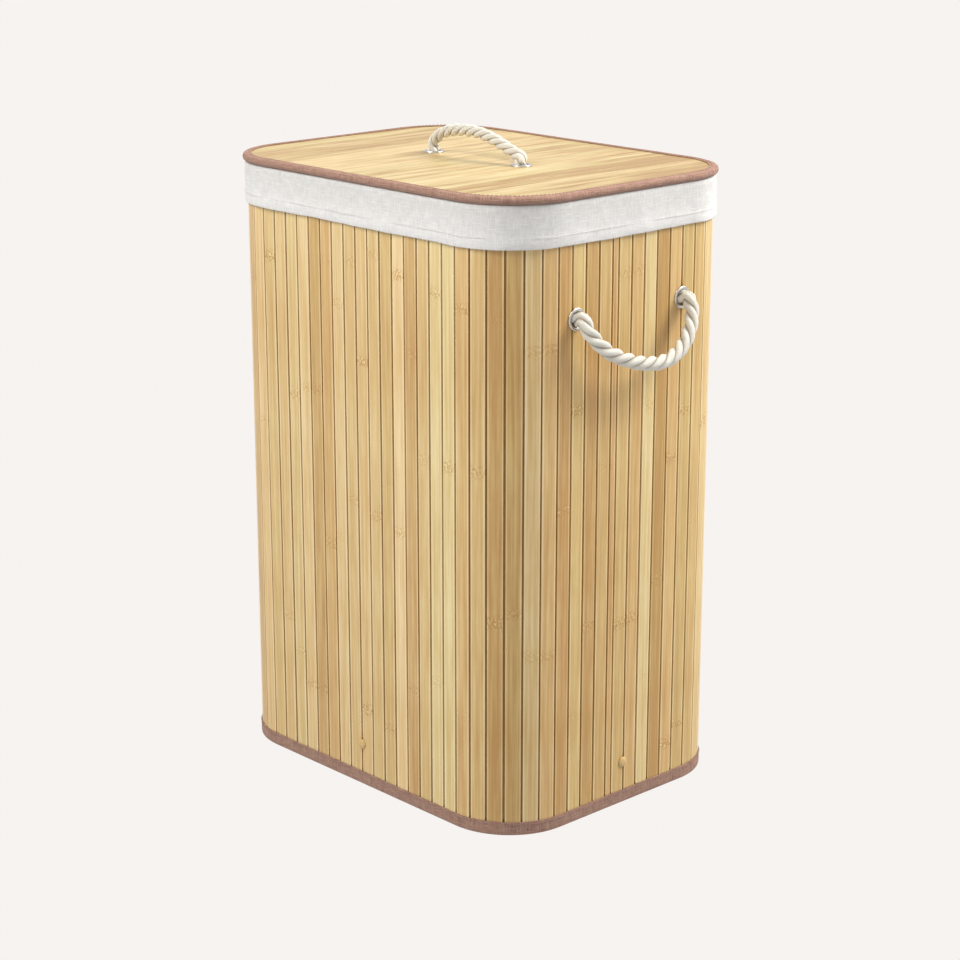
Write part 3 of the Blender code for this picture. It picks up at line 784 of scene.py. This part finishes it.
def add_fittings(metal):
    places = [
        (f"{name}_{end}", (side * HALF_X, y, SIDE_EYELET_Z), (side, 0, 0), SIDE_WALL, "hamper")
        for name, side in (("left", -1), ("right", 1))
        for end, y in (("front", -SIDE_EYELET_Y), ("back", SIDE_EYELET_Y))
    ]
    places += [
        (f"lid_{end}", (x, 0, SLAT_TOP), (0, 0, 1), LID_WALL, "lid")
        for end, x in (("left", -LID_EYELET_X), ("right", LID_EYELET_X))
    ]
    for name, place, out, through, body in places:
        low = -through - GAP - EYELET_PROUD
        middle, half = (EYELET_BORE + EYELET_RADIUS) / 2, (EYELET_RADIUS - EYELET_BORE) / 2
        roll = [
            (middle - half * math.cos(a), GAP + EYELET_PROUD * 1.15 * math.sin(a) ** 0.8)
            for a in (math.pi * i / 10 for i in range(1, 10))
        ]
        profile = [(EYELET_BORE, low), (EYELET_BORE, GAP), *roll,
                   (EYELET_RADIUS, GAP), (EYELET_BARREL, GAP), (EYELET_BARREL, low)]
        inner = EYELET_BARREL + GAP
        washer = [(inner, low), (EYELET_RADIUS - 0.0003, low), (EYELET_RADIUS, low + 0.0003),
                  (EYELET_RADIUS, low + EYELET_PROUD), (inner, low + EYELET_PROUD)]
        for kind, section in (("eyelet", profile), ("washer", washer)):
            turned = lathe(f"{name}_{kind}_ring", section, place, out, 56, True)
            add_piece(turned, metal, body, [f"{name}_{kind}"])


def add_pegs(made_of):
    dome, shank, deep = 0.0018, 0.0025, -0.0125
    for name, (x, y) in SIDES.items():
        place = ((HALF_X + GAP) * x, (HALF_Y + GAP) * y, PEG_Z)
        curve = [
            (PEG_HEAD * math.cos(a), dome * math.sin(a))
            for a in (math.pi / 2 * i / 8 for i in range(8))
        ]
        profile = [(shank * 0.9, deep), (shank, deep + 0.0004), (shank, 0), *curve, (0.0002, dome)]
        peg = lathe(f"{name}_peg_cap", profile, place, (x, y, 0), 40, False)
        for corner in peg.data.uv_layers.new(name="tone").data:
            corner.uv = (0.42, RANDOM.random())
        add_piece(peg, made_of, "hamper", [f"peg_{name}"])


# ---------------------------------------------------------------- slats

SLAT_SIDES = 0.0007  # rounding of a slat's long edges
KNUCKLE_PROFILE = (
    (-0.0085, 0.0, 0.0), (-0.0050, 0.00002, 0.50), (-0.0022, 0.00006, 1.00), (-0.0006, 0.00003, 1.00),
    (0.0010, 0.00007, 1.00), (0.0030, 0.00002, 0.75), (0.0056, 0.00001, 0.35), (0.0085, 0.0, 0.0),
)


def knuckle_heights(low, high, previous):
    """Where one slat's knuckles are, and how strong. Slats of one cane now and then share them."""
    if previous and RANDOM.random() < 0.12:
        return [(z + RANDOM.uniform(-0.003, 0.003), strong) for z, strong in previous]
    start = low + RANDOM.uniform(0.0, 0.36)
    found = []
    while start < high - 0.02:
        found.append((start, RANDOM.choice((0.15, 0.35, 0.55, 0.85))))
        start += RANDOM.uniform(0.22, 0.38)
    return found


def strip_rows(low, high, knuckles, step):
    """Heights of a strip's rows with their ridge and knuckle shade."""
    rows = []
    for middle, strong in knuckles:
        for offset, ridge, shade in KNUCKLE_PROFILE:
            if low < middle + offset < high:
                rows.append((middle + offset, ridge * strong, shade * strong))
    count = max(1, round((high - low) / step))
    for i in range(count + 1):
        z = low + (high - low) * i / count
        if i in (0, count) or all(abs(z - middle) > 0.0090 for middle, _ in knuckles):
            rows.append((z, 0.0, 0.0))
    return sorted(rows)


def slat_section(half):
    """A slat's outer side from edge to edge: (across, depth) pairs, then its inner side."""
    soft, crown = SLAT_SIDES, 0.00012
    right = [
        (half * 0.5, crown * 0.25), (half - 3 * soft, crown * 0.8), (half - soft, crown),
        (half - soft * 0.3, soft * 0.3), (half, soft), (half, 0.0012),
    ]
    left = [(-across, depth) for across, depth in reversed(right)]
    return [*left, (0, 0), *right, (half - 0.0001, SLAT_THICK), (-half + 0.0001, SLAT_THICK)]


def add_strip(bm, origin, across, out, run, half, rows, tone):
    """One bamboo strip. rows are (distance along run, ridge, knuckle shade)."""
    knuckle, pale_edge_and_painted_light = (layer(bm.verts.layers.float, name) for name in ("knuckle", "pale_edge_and_painted_light"))
    tones = layer(bm.loops.layers.uv, "tone")
    section = slat_section(half)
    wrapped = [0.0]  # distance across the strip, going round its edges
    for (x0, y0), (x1, y1) in zip(section, section[1:] + section[:1]):
        wrapped.append(wrapped[-1] + math.hypot(x1 - x0, y1 - y0))
    placed = []
    for along, ridge, _ in rows:
        placed.append([
            origin + across * t + out * ((ridge if d < 0.0004 else 0) - d) + run * along
            for t, d in section
        ])
    first = len(bm.faces)
    verts = loft(bm, placed, cap=True, lay=lambda u, v: (wrapped[u], rows[min(v, len(rows) - 1)][0]))
    for row, (_, _, shade) in zip(verts, rows):
        for vert, (t, d) in zip(row, section):
            vert[knuckle] = shade
            # The strip's long edges are painted lighter: partly the cane's own pale edge, partly a painted
            # highlight.
            vert[pale_edge_and_painted_light] = 1.0 if half - 2 * SLAT_SIDES < abs(t) < half and d < SLAT_SIDES else 0.0
    tone_faces(bm, first, tones, tone)


def panel_names():
    """The wall's panels by the numbers of the slats in each, in order round the wall."""
    names = {place: name for name, place in SIDES.items()}
    edges = slat_edges()
    found = {}
    for number in range(SLAT_COUNT + 1):
        middle = wall_point((edges[number] + edges[number + 1]) / 2)
        side_x = (middle.x > 0) - (middle.x < 0) if abs(middle.x) > HALF_X - CORNER else 0
        side_y = (middle.y > 0) - (middle.y < 0) if abs(middle.y) > HALF_Y - CORNER else 0
        if (side_x, side_y) in names:
            name = f"slat_panel_{names[side_x, side_y]}"
        else:
            name = f"slat_corner_{names[0, side_y]}_{names[side_x, 0]}"
        found.setdefault(name, []).append(number)
    return found, edges


def add_wall_slats(made_of):
    panels, edges = panel_names()
    half_gap = SLAT_GROOVE / 2 + 0.0002
    slats = {}
    previous = []
    for number in range(SLAT_COUNT + 1):
        low = edges[number] + half_gap + RANDOM.uniform(-0.0002, 0.0002)
        high = edges[number + 1] - half_gap + RANDOM.uniform(-0.0002, 0.0002)
        a, b = lift(wall_point(low), 0), lift(wall_point(high), 0)
        across = (b - a).normalized()
        out = Vector((across.y, -across.x, 0))
        out = Quaternion((0, 0, 1), math.radians(RANDOM.uniform(-0.5, 0.5))) @ out
        across = Vector((-out.y, out.x, 0))
        previous = knuckle_heights(WALL_LOW, WALL_TOP, previous)
        near = out.x > 0.55 and out.y < -0.55
        beside = out.x > 0.83 and out.y < 0
        usual = 0.21 if near else 0.30 if out.x > 0.97 else 0.62 if beside else 0.47
        tone = min(0.98, max(0.02, RANDOM.gauss(usual, 0.05 if near else 0.17)))
        slats[number] = ((a + b) / 2, across, out, (b - a).length / 2, previous, (tone, RANDOM.random()))
    for name, numbers in panels.items():
        bm = bmesh.new()
        for number in numbers:
            middle, across, out, half, knuckles, tone = slats[number]
            rows = strip_rows(WALL_LOW, WALL_TOP, knuckles, 0.028)
            add_strip(bm, middle, across, out, Vector((0, 0, 1)), half, rows, tone)
        panel = closed_object(name.replace("slat", "bamboo"), bm, 38)
        x, y = SIDES.get(name.removeprefix("slat_panel_"), (0, 0))
        holes = [((x * HALF_X, along, SIDE_EYELET_Z), (x, 0, 0), HOLE)
                 for along in (-SIDE_EYELET_Y, SIDE_EYELET_Y) if x]
        if x or y:
            punch(panel, [*holes, ((x * HALF_X, y * HALF_Y, PEG_Z), (x, y, 0), PEG_HOLE)])
        add_piece(panel, made_of, "hamper", [name])


def lid_half_y(x, inset):
    """How far the lid's outline, inset, reaches in y at this x."""
    reach = HALF_X + LID_OVERHANG - inset
    radius = CORNER + LID_OVERHANG - inset
    straight = reach - radius
    beyond = max(0.0, abs(x) - straight)
    return HALF_Y + LID_OVERHANG - inset - radius + math.sqrt(max(0.0, radius ** 2 - beyond ** 2))


def add_lid_slats(made_of):
    """Strips of bamboo side by side along y, cut to the lid's outline."""
    bm = bmesh.new()
    tones = bm.loops.layers.uv.new("tone")
    bm.loops.layers.uv.new("lay")
    knuckle, pale_edge_and_painted_light = (bm.verts.layers.float.new(name) for name in ("knuckle", "pale_edge_and_painted_light"))
    inset = CLOTH + GAP + 0.0012
    reach = HALF_X + LID_OVERHANG - inset
    count = round(2 * HALF_X / LID_SLAT_PITCH) + 1
    groove, soft = 0.00016, 0.00035
    knots = []
    for i in range(count):
        low = (i - count / 2) * LID_SLAT_PITCH + groove
        high = low + LID_SLAT_PITCH - 2 * groove
        low, high = max(low, -reach + 0.0002), min(high, reach - 0.0002)
        if high - low < 0.002:
            continue
        section = [(low, 0.0006), (low + soft * 0.35, 0.00012), (low + soft, 0.00002)]
        section += [(low + (high - low) * k / 6, 0.0) for k in range(1, 6)]
        section += [(high - soft, 0.00002), (high - soft * 0.35, 0.00012), (high, 0.0006)]
        section += [(high, SLAT_THICK), (low, SLAT_THICK)]
        knots = knuckle_heights(-HALF_Y, HALF_Y, knots)
        usual, spread = (0.28, 0.12) if low < -0.11 else (0.60, 0.10) if low < 0.10 else (0.42, 0.22)
        tone = (min(0.95, max(0.05, RANDOM.gauss(usual, spread))), RANDOM.random())
        rows = [
            [Vector((x, share * lid_half_y(x, inset), SLAT_TOP - drop)) for x, drop in section]
            for share, _, _ in strip_rows(-1.0, 1.0, (), 0.06)
        ]
        first = len(bm.faces)
        for vert in sum(loft(bm, rows, cap=True), []):
            x, y, z = vert.co
            if z > SLAT_TOP - SLAT_THICK / 2:
                fades = (strong * max(0.0, 1 - abs(y - k) / 0.006) for k, strong in knots)
                vert[knuckle] = 0.4 * max(fades, default=0.0)
                # Painted shade: the lid's top gets darker towards its right back corner.
                vert[pale_edge_and_painted_light] = -min(1.0, max(0.0, (x / HALF_X + y / HALF_Y - 0.2) / 1.6))
        tone_faces(bm, first, tones, tone)
    lay_flat(bm)
    top = closed_object("lid_bamboo_strips", bm, 38)
    punch(top, [((x, 0, SLAT_TOP), (0, 0, 1), HOLE) for x in (-LID_EYELET_X, LID_EYELET_X)])
    add_piece(top, made_of, "lid", ["lid_slats"])


# ---------------------------------------------------------------- cloth round the wall

WALL_STEPS = 520


def ring(inset_at, z_at):
    """Points round the wall; inset_at and z_at take the distance round it."""
    distances = (PERIMETER * i / WALL_STEPS for i in range(WALL_STEPS))
    return [lift(wall_point(along, inset_at(along)), z_at(along)) for along in distances]


def slat_share(along):
    """How far across its slat a place on the wall is, from 0 to 1."""
    return (along - FIRST_EDGE) % SLAT_PITCH / SLAT_PITCH


def groove_at(along):
    """1 over the gap between two slats, 0 over their middles."""
    share = slat_share(along)
    return max(0.0, 1 - 7 * min(share, 1 - share))


def facet_at(along):
    """How far a chord between two joints lies inside the wall's round corners."""
    share, here = slat_share(along), wall_point(along)
    in_corner = abs(here.x) > HALF_X - CORNER and abs(here.y) > HALF_Y - CORNER
    return share * (1 - share) * SLAT_PITCH ** 2 / (2 * CORNER) if in_corner else 0.0


def tape_ring(name, section, made_of, node):
    """A closed band round the wall: section is (inset, z, how far it follows the slats) in order."""
    rows = []
    for inset, z, follow in section:
        rows.append(ring(
            lambda along, inset=inset, follow=follow:
                inset + follow * (facet_at(along) + 0.00025 * groove_at(along)),
            lambda along, z=z, follow=follow:
                z + 0.00015 * math.sin(along * 61.0 + 2 * math.sin(along * 23.0)) * follow,
        ))
    bm = bmesh.new()
    loft(bm, rows, closed_loft=True)
    add_piece(closed_object(name, bm, 50), made_of, "hamper", [node])


def add_stitches(name, places, made_of, body, radius=0.00028):
    """Short stitches, each from one point to another with its middle standing proud."""
    bm = bmesh.new()
    for start, end, out in places:
        middle = (start + end) / 2 + out * radius
        line = [start - out * radius * 0.6, start.lerp(middle, 0.5) + out * radius * 0.45, middle,
                end.lerp(middle, 0.5) + out * radius * 0.45, end - out * radius * 0.6]
        tube(bm, line, radius, 6, shift=(start.x + start.y, start.z))
    add_piece(new_object(name, bm, 60), made_of, body)


def wall_stitches(inset, z, length, gap):
    """Stitches round the wall at one height."""
    count = round(PERIMETER / (length + gap))
    places = []
    for i in range(count):
        start = PERIMETER * i / count
        end = start + length
        out = lift(out_at(start + length / 2), 0)
        a = lift(wall_point(start, inset + facet_at(start)), z)
        b = lift(wall_point(end, inset + facet_at(end)), z)
        places.append((a, b, out))
    return places


def add_wall_cloth(materials):
    high = HEM_TOP
    out, in_ = -GAP, INNER_LEG
    hem = [
        (out - CLOTH * 0.3, high, 1), (out - CLOTH * 0.85, high - 0.0002, 1),
        (out - CLOTH, high - 0.0008, 1), (out - CLOTH * 1.15, high - 0.003, 1),
        (out - CLOTH * 1.15, high * 0.5, 1), (out - CLOTH * 1.05, 0.0018, 0.6),
        (out - CLOTH * 0.5, 0.0006, 0.2),
        (out + 0.0005, 0.0001, 0), (in_ - 0.0005, 0.0001, 0), (in_ + CLOTH * 0.6, 0.0007, 0),
        (in_ + CLOTH, 0.002, 0), (in_ + CLOTH, high, 0), (in_, high, 0), (in_, 0.0012, 0),
        (out + 0.0001, 0.0012, 0), (out, 0.003, 1), (out, high, 1),
    ]
    tape_ring("hem_tape", hem, materials["tape"], "bottom_hem_binding")
    add_stitches("hem_stitches", wall_stitches(out - CLOTH * 1.1, high - 0.0024, 0.0030, 0.0012),
                 materials["thread"], "hamper")
    top = WALL_TOP + GAP + CLOTH
    leg = top - RIM_LEG
    rim = [
        (out - CLOTH, leg, 1), (out - CLOTH, top - 0.002, 1), (out - CLOTH * 0.7, top - 0.0006, 0.5),
        (out, top, 0), (in_, top, 0), (in_ + CLOTH * 0.8, top - 0.0006, 0),
        (in_ + CLOTH, leg, 0), (in_, leg, 0), (in_, top - CLOTH, 0), (out, top - CLOTH, 0), (out, leg, 1),
    ]
    tape_ring("rim_tape", rim, materials["tape"], "top_rim_binding")
    backing = [
        (INSET, WALL_LOW, 1), (INSET, WALL_TOP, 1),
        (INSET + CLOTH, WALL_TOP, 1), (INSET + CLOTH, WALL_LOW, 1),
    ]
    tape_ring("backing_sheet", backing, materials["backing"], "wall_backing_cloth")
    low_corner, high_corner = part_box("wall_seam_strip")
    rows = []
    for k in range(25):
        z = low_corner.z + (high_corner.z - low_corner.z) * k / 24
        wave = 0.0002 * math.sin(k * 1.7)
        x0, x1 = low_corner.x, high_corner.x
        y0, y1 = low_corner.y + wave, high_corner.y + wave
        rows.append([Vector((x, y, z)) for x, y in ((x0, y0), (x1, y0), (x1, y1), (x0, y1))])
    bm = bmesh.new()
    loft(bm, rows, cap=True)
    add_piece(closed_object("seam_tape", bm, 40), materials["tape"], "hamper",
              ["wall_seam_strip"])


# ---------------------------------------------------------------- liner

def cuff_wave(share, depth):
    """Small unevenness of the cuff's outer leg, growing towards its loose edge."""
    a = share * 2 * math.pi
    return depth * (0.45 * math.sin(9 * a + 1.1) + 0.35 * math.sin(17 * a + 0.4) + 0.2 * math.sin(31 * a))


LINER_STEPS = 300
CUFF_LINE = -0.0013  # inset of the cuff's outer leg, which lies outside the wall
CUFF_SEAM = 0.5640  # where the cuff's inner leg meets the bag
LINEN = 0.0006  # thickness of the liner's cloth


def liner_ring(inset_x, inset_y, z, wave=0.0, rise=0.0):
    """One level of the liner. wave moves it sideways and rise moves it up, by their sizes."""
    outline = HALF_X - inset_x, HALF_Y - inset_y, CORNER - (inset_x + inset_y) / 2
    points = []
    for share in (i / LINER_STEPS for i in range(LINER_STEPS)):
        sway = round_out(share, *outline) * cuff_wave(share, wave)
        points.append(lift(round_point(share, *outline) + sway, z + cuff_wave(share + 0.3, rise)))
    return points


def bag_wave(share, height):
    """Soft upright folds of the bag, deepest half way up; never outwards by much."""
    a = share * 2 * math.pi
    swell = math.sin(math.pi * height) ** 0.8
    folds = (0.5 * math.sin(13 * a + 2.3 * math.sin(2 * a) + 1.5 * height)
             + 0.3 * math.sin(23 * a + 1.7 + 3.0 * height)
             + 0.2 * math.sin(7 * a + 4 * height))
    return swell * (0.0028 * folds - 0.0012)


def add_liner(linen):
    """A hemmed cuff, folded over the rim, and the bag sewn to it."""
    top, low = CUFF_TOP, CUFF_LOW
    legs = (  # how far outside CUFF_LINE, height, wave, rise
        (-0.0002, low + 0.0090, 0.0002, 0), (-0.0002, low + 0.0070, 0.0004, 0),
        (-0.0001, low + 0.0020, 0.0006, 0), (0.0003, low, 0.0008, 0.0005),
        (0.0008, low + 0.0001, 0.0008, 0.0005), (0.0011, low + 0.0008, 0.0008, 0.0004),
        (0.0011, low + 0.0065, 0.0008, 0.0002), (0.00105, low + 0.0095, 0.0007, 0.0002),
        (0.0009, low + 0.0106, 0.0007, 0), (0.0009, low + 0.0150, 0.0008, 0),
        (0.0009, low + 0.0220, 0.0007, 0), (0.0007, low + 0.0285, 0.0005, 0),
        (0.0005, low + 0.0330, 0.0003, 0), (0.0002, top - 0.0010, 0.0001, 0),
        (-0.0010, top - 0.0001, 0, 0),
    )
    rows = [liner_ring(CUFF_LINE - o, CUFF_LINE - o, z, wave, rise) for o, z, wave, rise in legs]
    for further, z in ((0, top - 0.0001), (0.0014, top - 0.0012), (0.0016, CUFF_SEAM)):
        rows.append(liner_ring(INNER_LEG + further, INNER_LEG + further, z))
    levels = (  # height, and the bag's inset along x and along y
        (0.5600, 0.0058, 0.0056), (0.5450, 0.0120, 0.0088), (0.5280, 0.022, 0.0100), (0.510, 0.031, 0.0110),
        (0.470, 0.031, 0.012), (0.430, 0.031, 0.012), (0.390, 0.0286, 0.012), (0.345, 0.0245, 0.012),
        (0.300, 0.0212, 0.012), (0.250, 0.0202, 0.012), (0.200, 0.0192, 0.012), (0.150, 0.0182, 0.012),
        (0.110, 0.0174, 0.012), (0.080, 0.0168, 0.012), (0.063, 0.0170, 0.0125), (0.0560, 0.0182, 0.0138),
        (BAG_LOW + 0.0005, 0.0215, 0.0172),
    )
    fine = [
        tuple(a + (b - a) * k / 3 for a, b in zip(level, following))
        for level, following in zip(levels, levels[1:]) for k in range(3)
    ]
    bag_low, bag_high = levels[-1][0], levels[0][0]
    for z, inset_x, inset_y in fine + [levels[-1]]:
        row = []
        for i, point in enumerate(liner_ring(inset_x, inset_y, z)):
            outward = Vector((point.x / HALF_X ** 2, point.y / HALF_Y ** 2, 0)).normalized()
            row.append(point + outward * bag_wave(i / LINER_STEPS, (z - bag_low) / (bag_high - bag_low)))
        rows.append(row)
    bm = bmesh.new()
    # Painted shadow of the lid: the cuff's outer leg gets darker towards its top.
    painted_lid_shadow = bm.verts.layers.float.new("painted_lid_shadow")
    for row, leg in zip(loft(bm, rows), legs):
        for vert in row:
            vert[painted_lid_shadow] = max(0.0, (leg[1] - low) / (top - low)) ** 1.2
    liner = new_object("liner_bag_and_cuff", bm, 60)
    thicken(liner, LINEN)
    add_piece(liner, linen, "hamper", ["liner_bag", "liner_cuff"])


def add_sole(linen):
    """The bag's floor, laid a little unevenly on the board."""
    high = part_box("liner_floor")[1]
    edge = liner_ring(HALF_X - high.x - 0.0015, HALF_Y - high.y - 0.0015, high.z)
    rings = 26
    rows = []
    for k in range(rings + 1):
        size = 1 - k / (rings + 1)
        welt = 0.0009 * max(0.0, 1 - abs(size - 0.93) * 40)
        row = []
        for x, y in ((point.x * size, point.y * size) for point in edge):
            uneven = 0.0012 * math.sin(x * 37 + 1) * math.sin(y * 45 + 2) ** 2 * min(1, 4 * (1 - size))
            row.append(Vector((x, y, high.z - 0.0004 + uneven + welt)))
        rows.append(row)
    bm = bmesh.new()
    bm.faces.new(loft(bm, rows)[-1])
    lay_flat(bm)
    sole = closed_object("liner_sole", bm, 60)
    thicken(sole, LINEN)
    add_piece(sole, linen, "hamper", ["liner_floor"])


def add_cuff_stitches(linen):
    places = []
    outset, length, gap = 0.00285, 0.0026, 0.0012
    count = round(PERIMETER / (length + gap))
    for i in range(count):
        a, b = i / count, (i + 0.68) / count
        ends = []
        for share in (a, b):
            point = round_point(share, HALF_X + outset, HALF_Y + outset, CORNER + outset)
            ends.append(lift(point, CUFF_LOW + 0.0098 + cuff_wave(share + 0.3, 0.0002)))
        out = round_out((a + b) / 2, HALF_X, HALF_Y, CORNER)
        places.append((ends[0], ends[1], lift(out, 0)))
    add_stitches("cuff_stitches", places, linen, "hamper", 0.00024)


# ---------------------------------------------------------------- lid

def lid_ring(inset, z, steps=440):
    half_x, half_y = HALF_X + LID_OVERHANG - inset, HALF_Y + LID_OVERHANG - inset
    radius = CORNER + LID_OVERHANG - inset
    return [lift(round_point(i / steps, half_x, half_y, radius), z) for i in range(steps)]


def add_lid_binding(materials):
    low, top = LID_LOW, LID_TOP
    section = [
        (LID_FLANGE, top - CLOTH * 0.95), (LID_FLANGE, top - CLOTH * 0.3),
        (LID_FLANGE - 0.0004, top - 0.0001),
        (LID_FLANGE - 0.0030, top + 0.0001), (0.0050, top), (0.0030, top - 0.0001), (0.0016, top - 0.0005),
        (0.0006, top - 0.0014), (0.0001, top - 0.0030), (0, (top + low) / 2), (0.0001, low + 0.0030),
        (0.0006, low + 0.0014), (0.0016, low + 0.0005), (0.0030, low), (LID_FLANGE - 0.0004, low),
        (LID_FLANGE, low + CLOTH * 0.9), (0.0030, low + CLOTH), (0.0016, low + 0.0015),
        (0.0012, low + 0.003), (0.0012, top - 0.003), (0.0016, top - 0.0015), (0.0030, top - CLOTH),
    ]
    bm = bmesh.new()
    loft(bm, [lid_ring(inset, z) for inset, z in section], closed_loft=True)
    add_piece(closed_object("lid_tape", bm, 50), materials["tape"], "lid",
              ["lid_binding"])
    places = []
    steps = 330
    edge = lid_ring(LID_FLANGE - 0.0022, top + 0.0001, steps * 3)
    under = lid_ring(LID_FLANGE - 0.0022, low, steps * 3)
    for i in range(steps):
        places.append((edge[3 * i], edge[3 * i + 2], Vector((0, 0, 1))))
        places.append((under[3 * i], under[3 * i + 2], Vector((0, 0, -1))))
    add_stitches("lid_tape_stitches", places, materials["thread"], "lid")


def add_lid_lining(materials):
    """Cloth stretched over the lid's underside, a little puckered by its binding."""
    low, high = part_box("lid_lining")
    columns, rows = 96, 72
    inset = HALF_X + LID_OVERHANG - high.x
    grid = []
    for r in range(rows + 1):
        line = []
        for c in range(columns + 1):
            x = (2 * c / columns - 1) * high.x * 0.999
            y = (2 * r / rows - 1) * lid_half_y(x, inset)
            pucker = 0.0002 * math.sin(x * 70 + 3 * math.sin(y * 40)) * math.sin(y * 60)
            line.append(Vector((x, y, low.z + 0.0004 + pucker)))
        grid.append(line)
    bm = bmesh.new()
    loft(bm, grid, closed_rows=False)
    lay_flat(bm)
    lining = new_object("lid_underside_cloth", bm, 60)
    thicken(lining, 0.0005)
    bake_modifiers(lining)
    punch(lining, [((x, 0, low.z), (0, 0, 1), HOLE) for x in (-LID_EYELET_X, LID_EYELET_X)])
    add_piece(lining, materials["lining"], "lid", ["lid_lining"])


def add_hinge_tabs(materials):
    """Each hinge is one strip of tape, sewn to the lid's edge and fastened to the cuff."""
    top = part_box("lid_hinge_tab_left")[1].z
    turn_low, turn_high = LID_LOW - 0.0035, LID_LOW + 0.0025
    steps, columns = 44, 12
    for name in ("left", "right"):
        nodes = [f"cuff_fastening_tab_{name}", f"lid_hinge_tab_{name}"]
        (cuff_low, cuff_high), (lid_low, lid_high) = (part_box(node) for node in nodes)
        across = [cuff_low.x + (cuff_high.x - cuff_low.x) * c / columns for c in range(columns + 1)]
        rows = []
        for k in range(steps + 1):
            z = HINGE_TAB_LOW + (top - HINGE_TAB_LOW) * k / steps
            share = min(1, max(0, (z - turn_low) / (turn_high - turn_low)))
            share = share * share * (3 - 2 * share)
            near = cuff_low.y + (lid_low.y - cuff_low.y) * share
            far = cuff_high.y + (lid_high.y - cuff_high.y) * share
            rows.append([Vector((x, near, z)) for x in across] + [
                Vector((x, far + 0.0003 * math.sin(9 * c / columns + k * 0.2), z))
                for c, x in enumerate(reversed(across))
            ])
        bm = bmesh.new()
        loft(bm, rows, cap=True)
        tab = closed_object(f"hinge_tape_{name}", bm, 50)
        add_piece(tab, materials["tape"], None, nodes)
        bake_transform(tab, "hamper", "lid", start=(0, 0, turn_low), end=(0, 0, turn_high))


# ---------------------------------------------------------------- everything

def paint_cad_nodes(materials):
    """CAD nodes whose shape is right only get a better material."""
    chosen = {"base_board": "board", "lid_board": "board"}
    chosen.update({f"support_block_{n}": "wood" for n in ("front", "back", "left", "right")})
    for node, name in chosen.items():
        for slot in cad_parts[node].material_slots:
            slot.material = materials[name]


def main():
    add_camera()
    add_studio()
    materials = make_materials()
    add_ropes(materials["rope"])
    add_fittings(materials["metal"])
    add_pegs(materials["wall"])
    add_wall_slats(materials["wall"])
    add_wall_cloth(materials)
    add_liner(materials["linen"])
    add_sole(materials["linen"])
    add_cuff_stitches(materials["linen"])
    add_lid_slats(materials["lid"])
    add_lid_binding(materials)
    add_lid_lining(materials)
    add_hinge_tabs(materials)
    paint_cad_nodes(materials)


main()
bpy.context.view_layer.update()
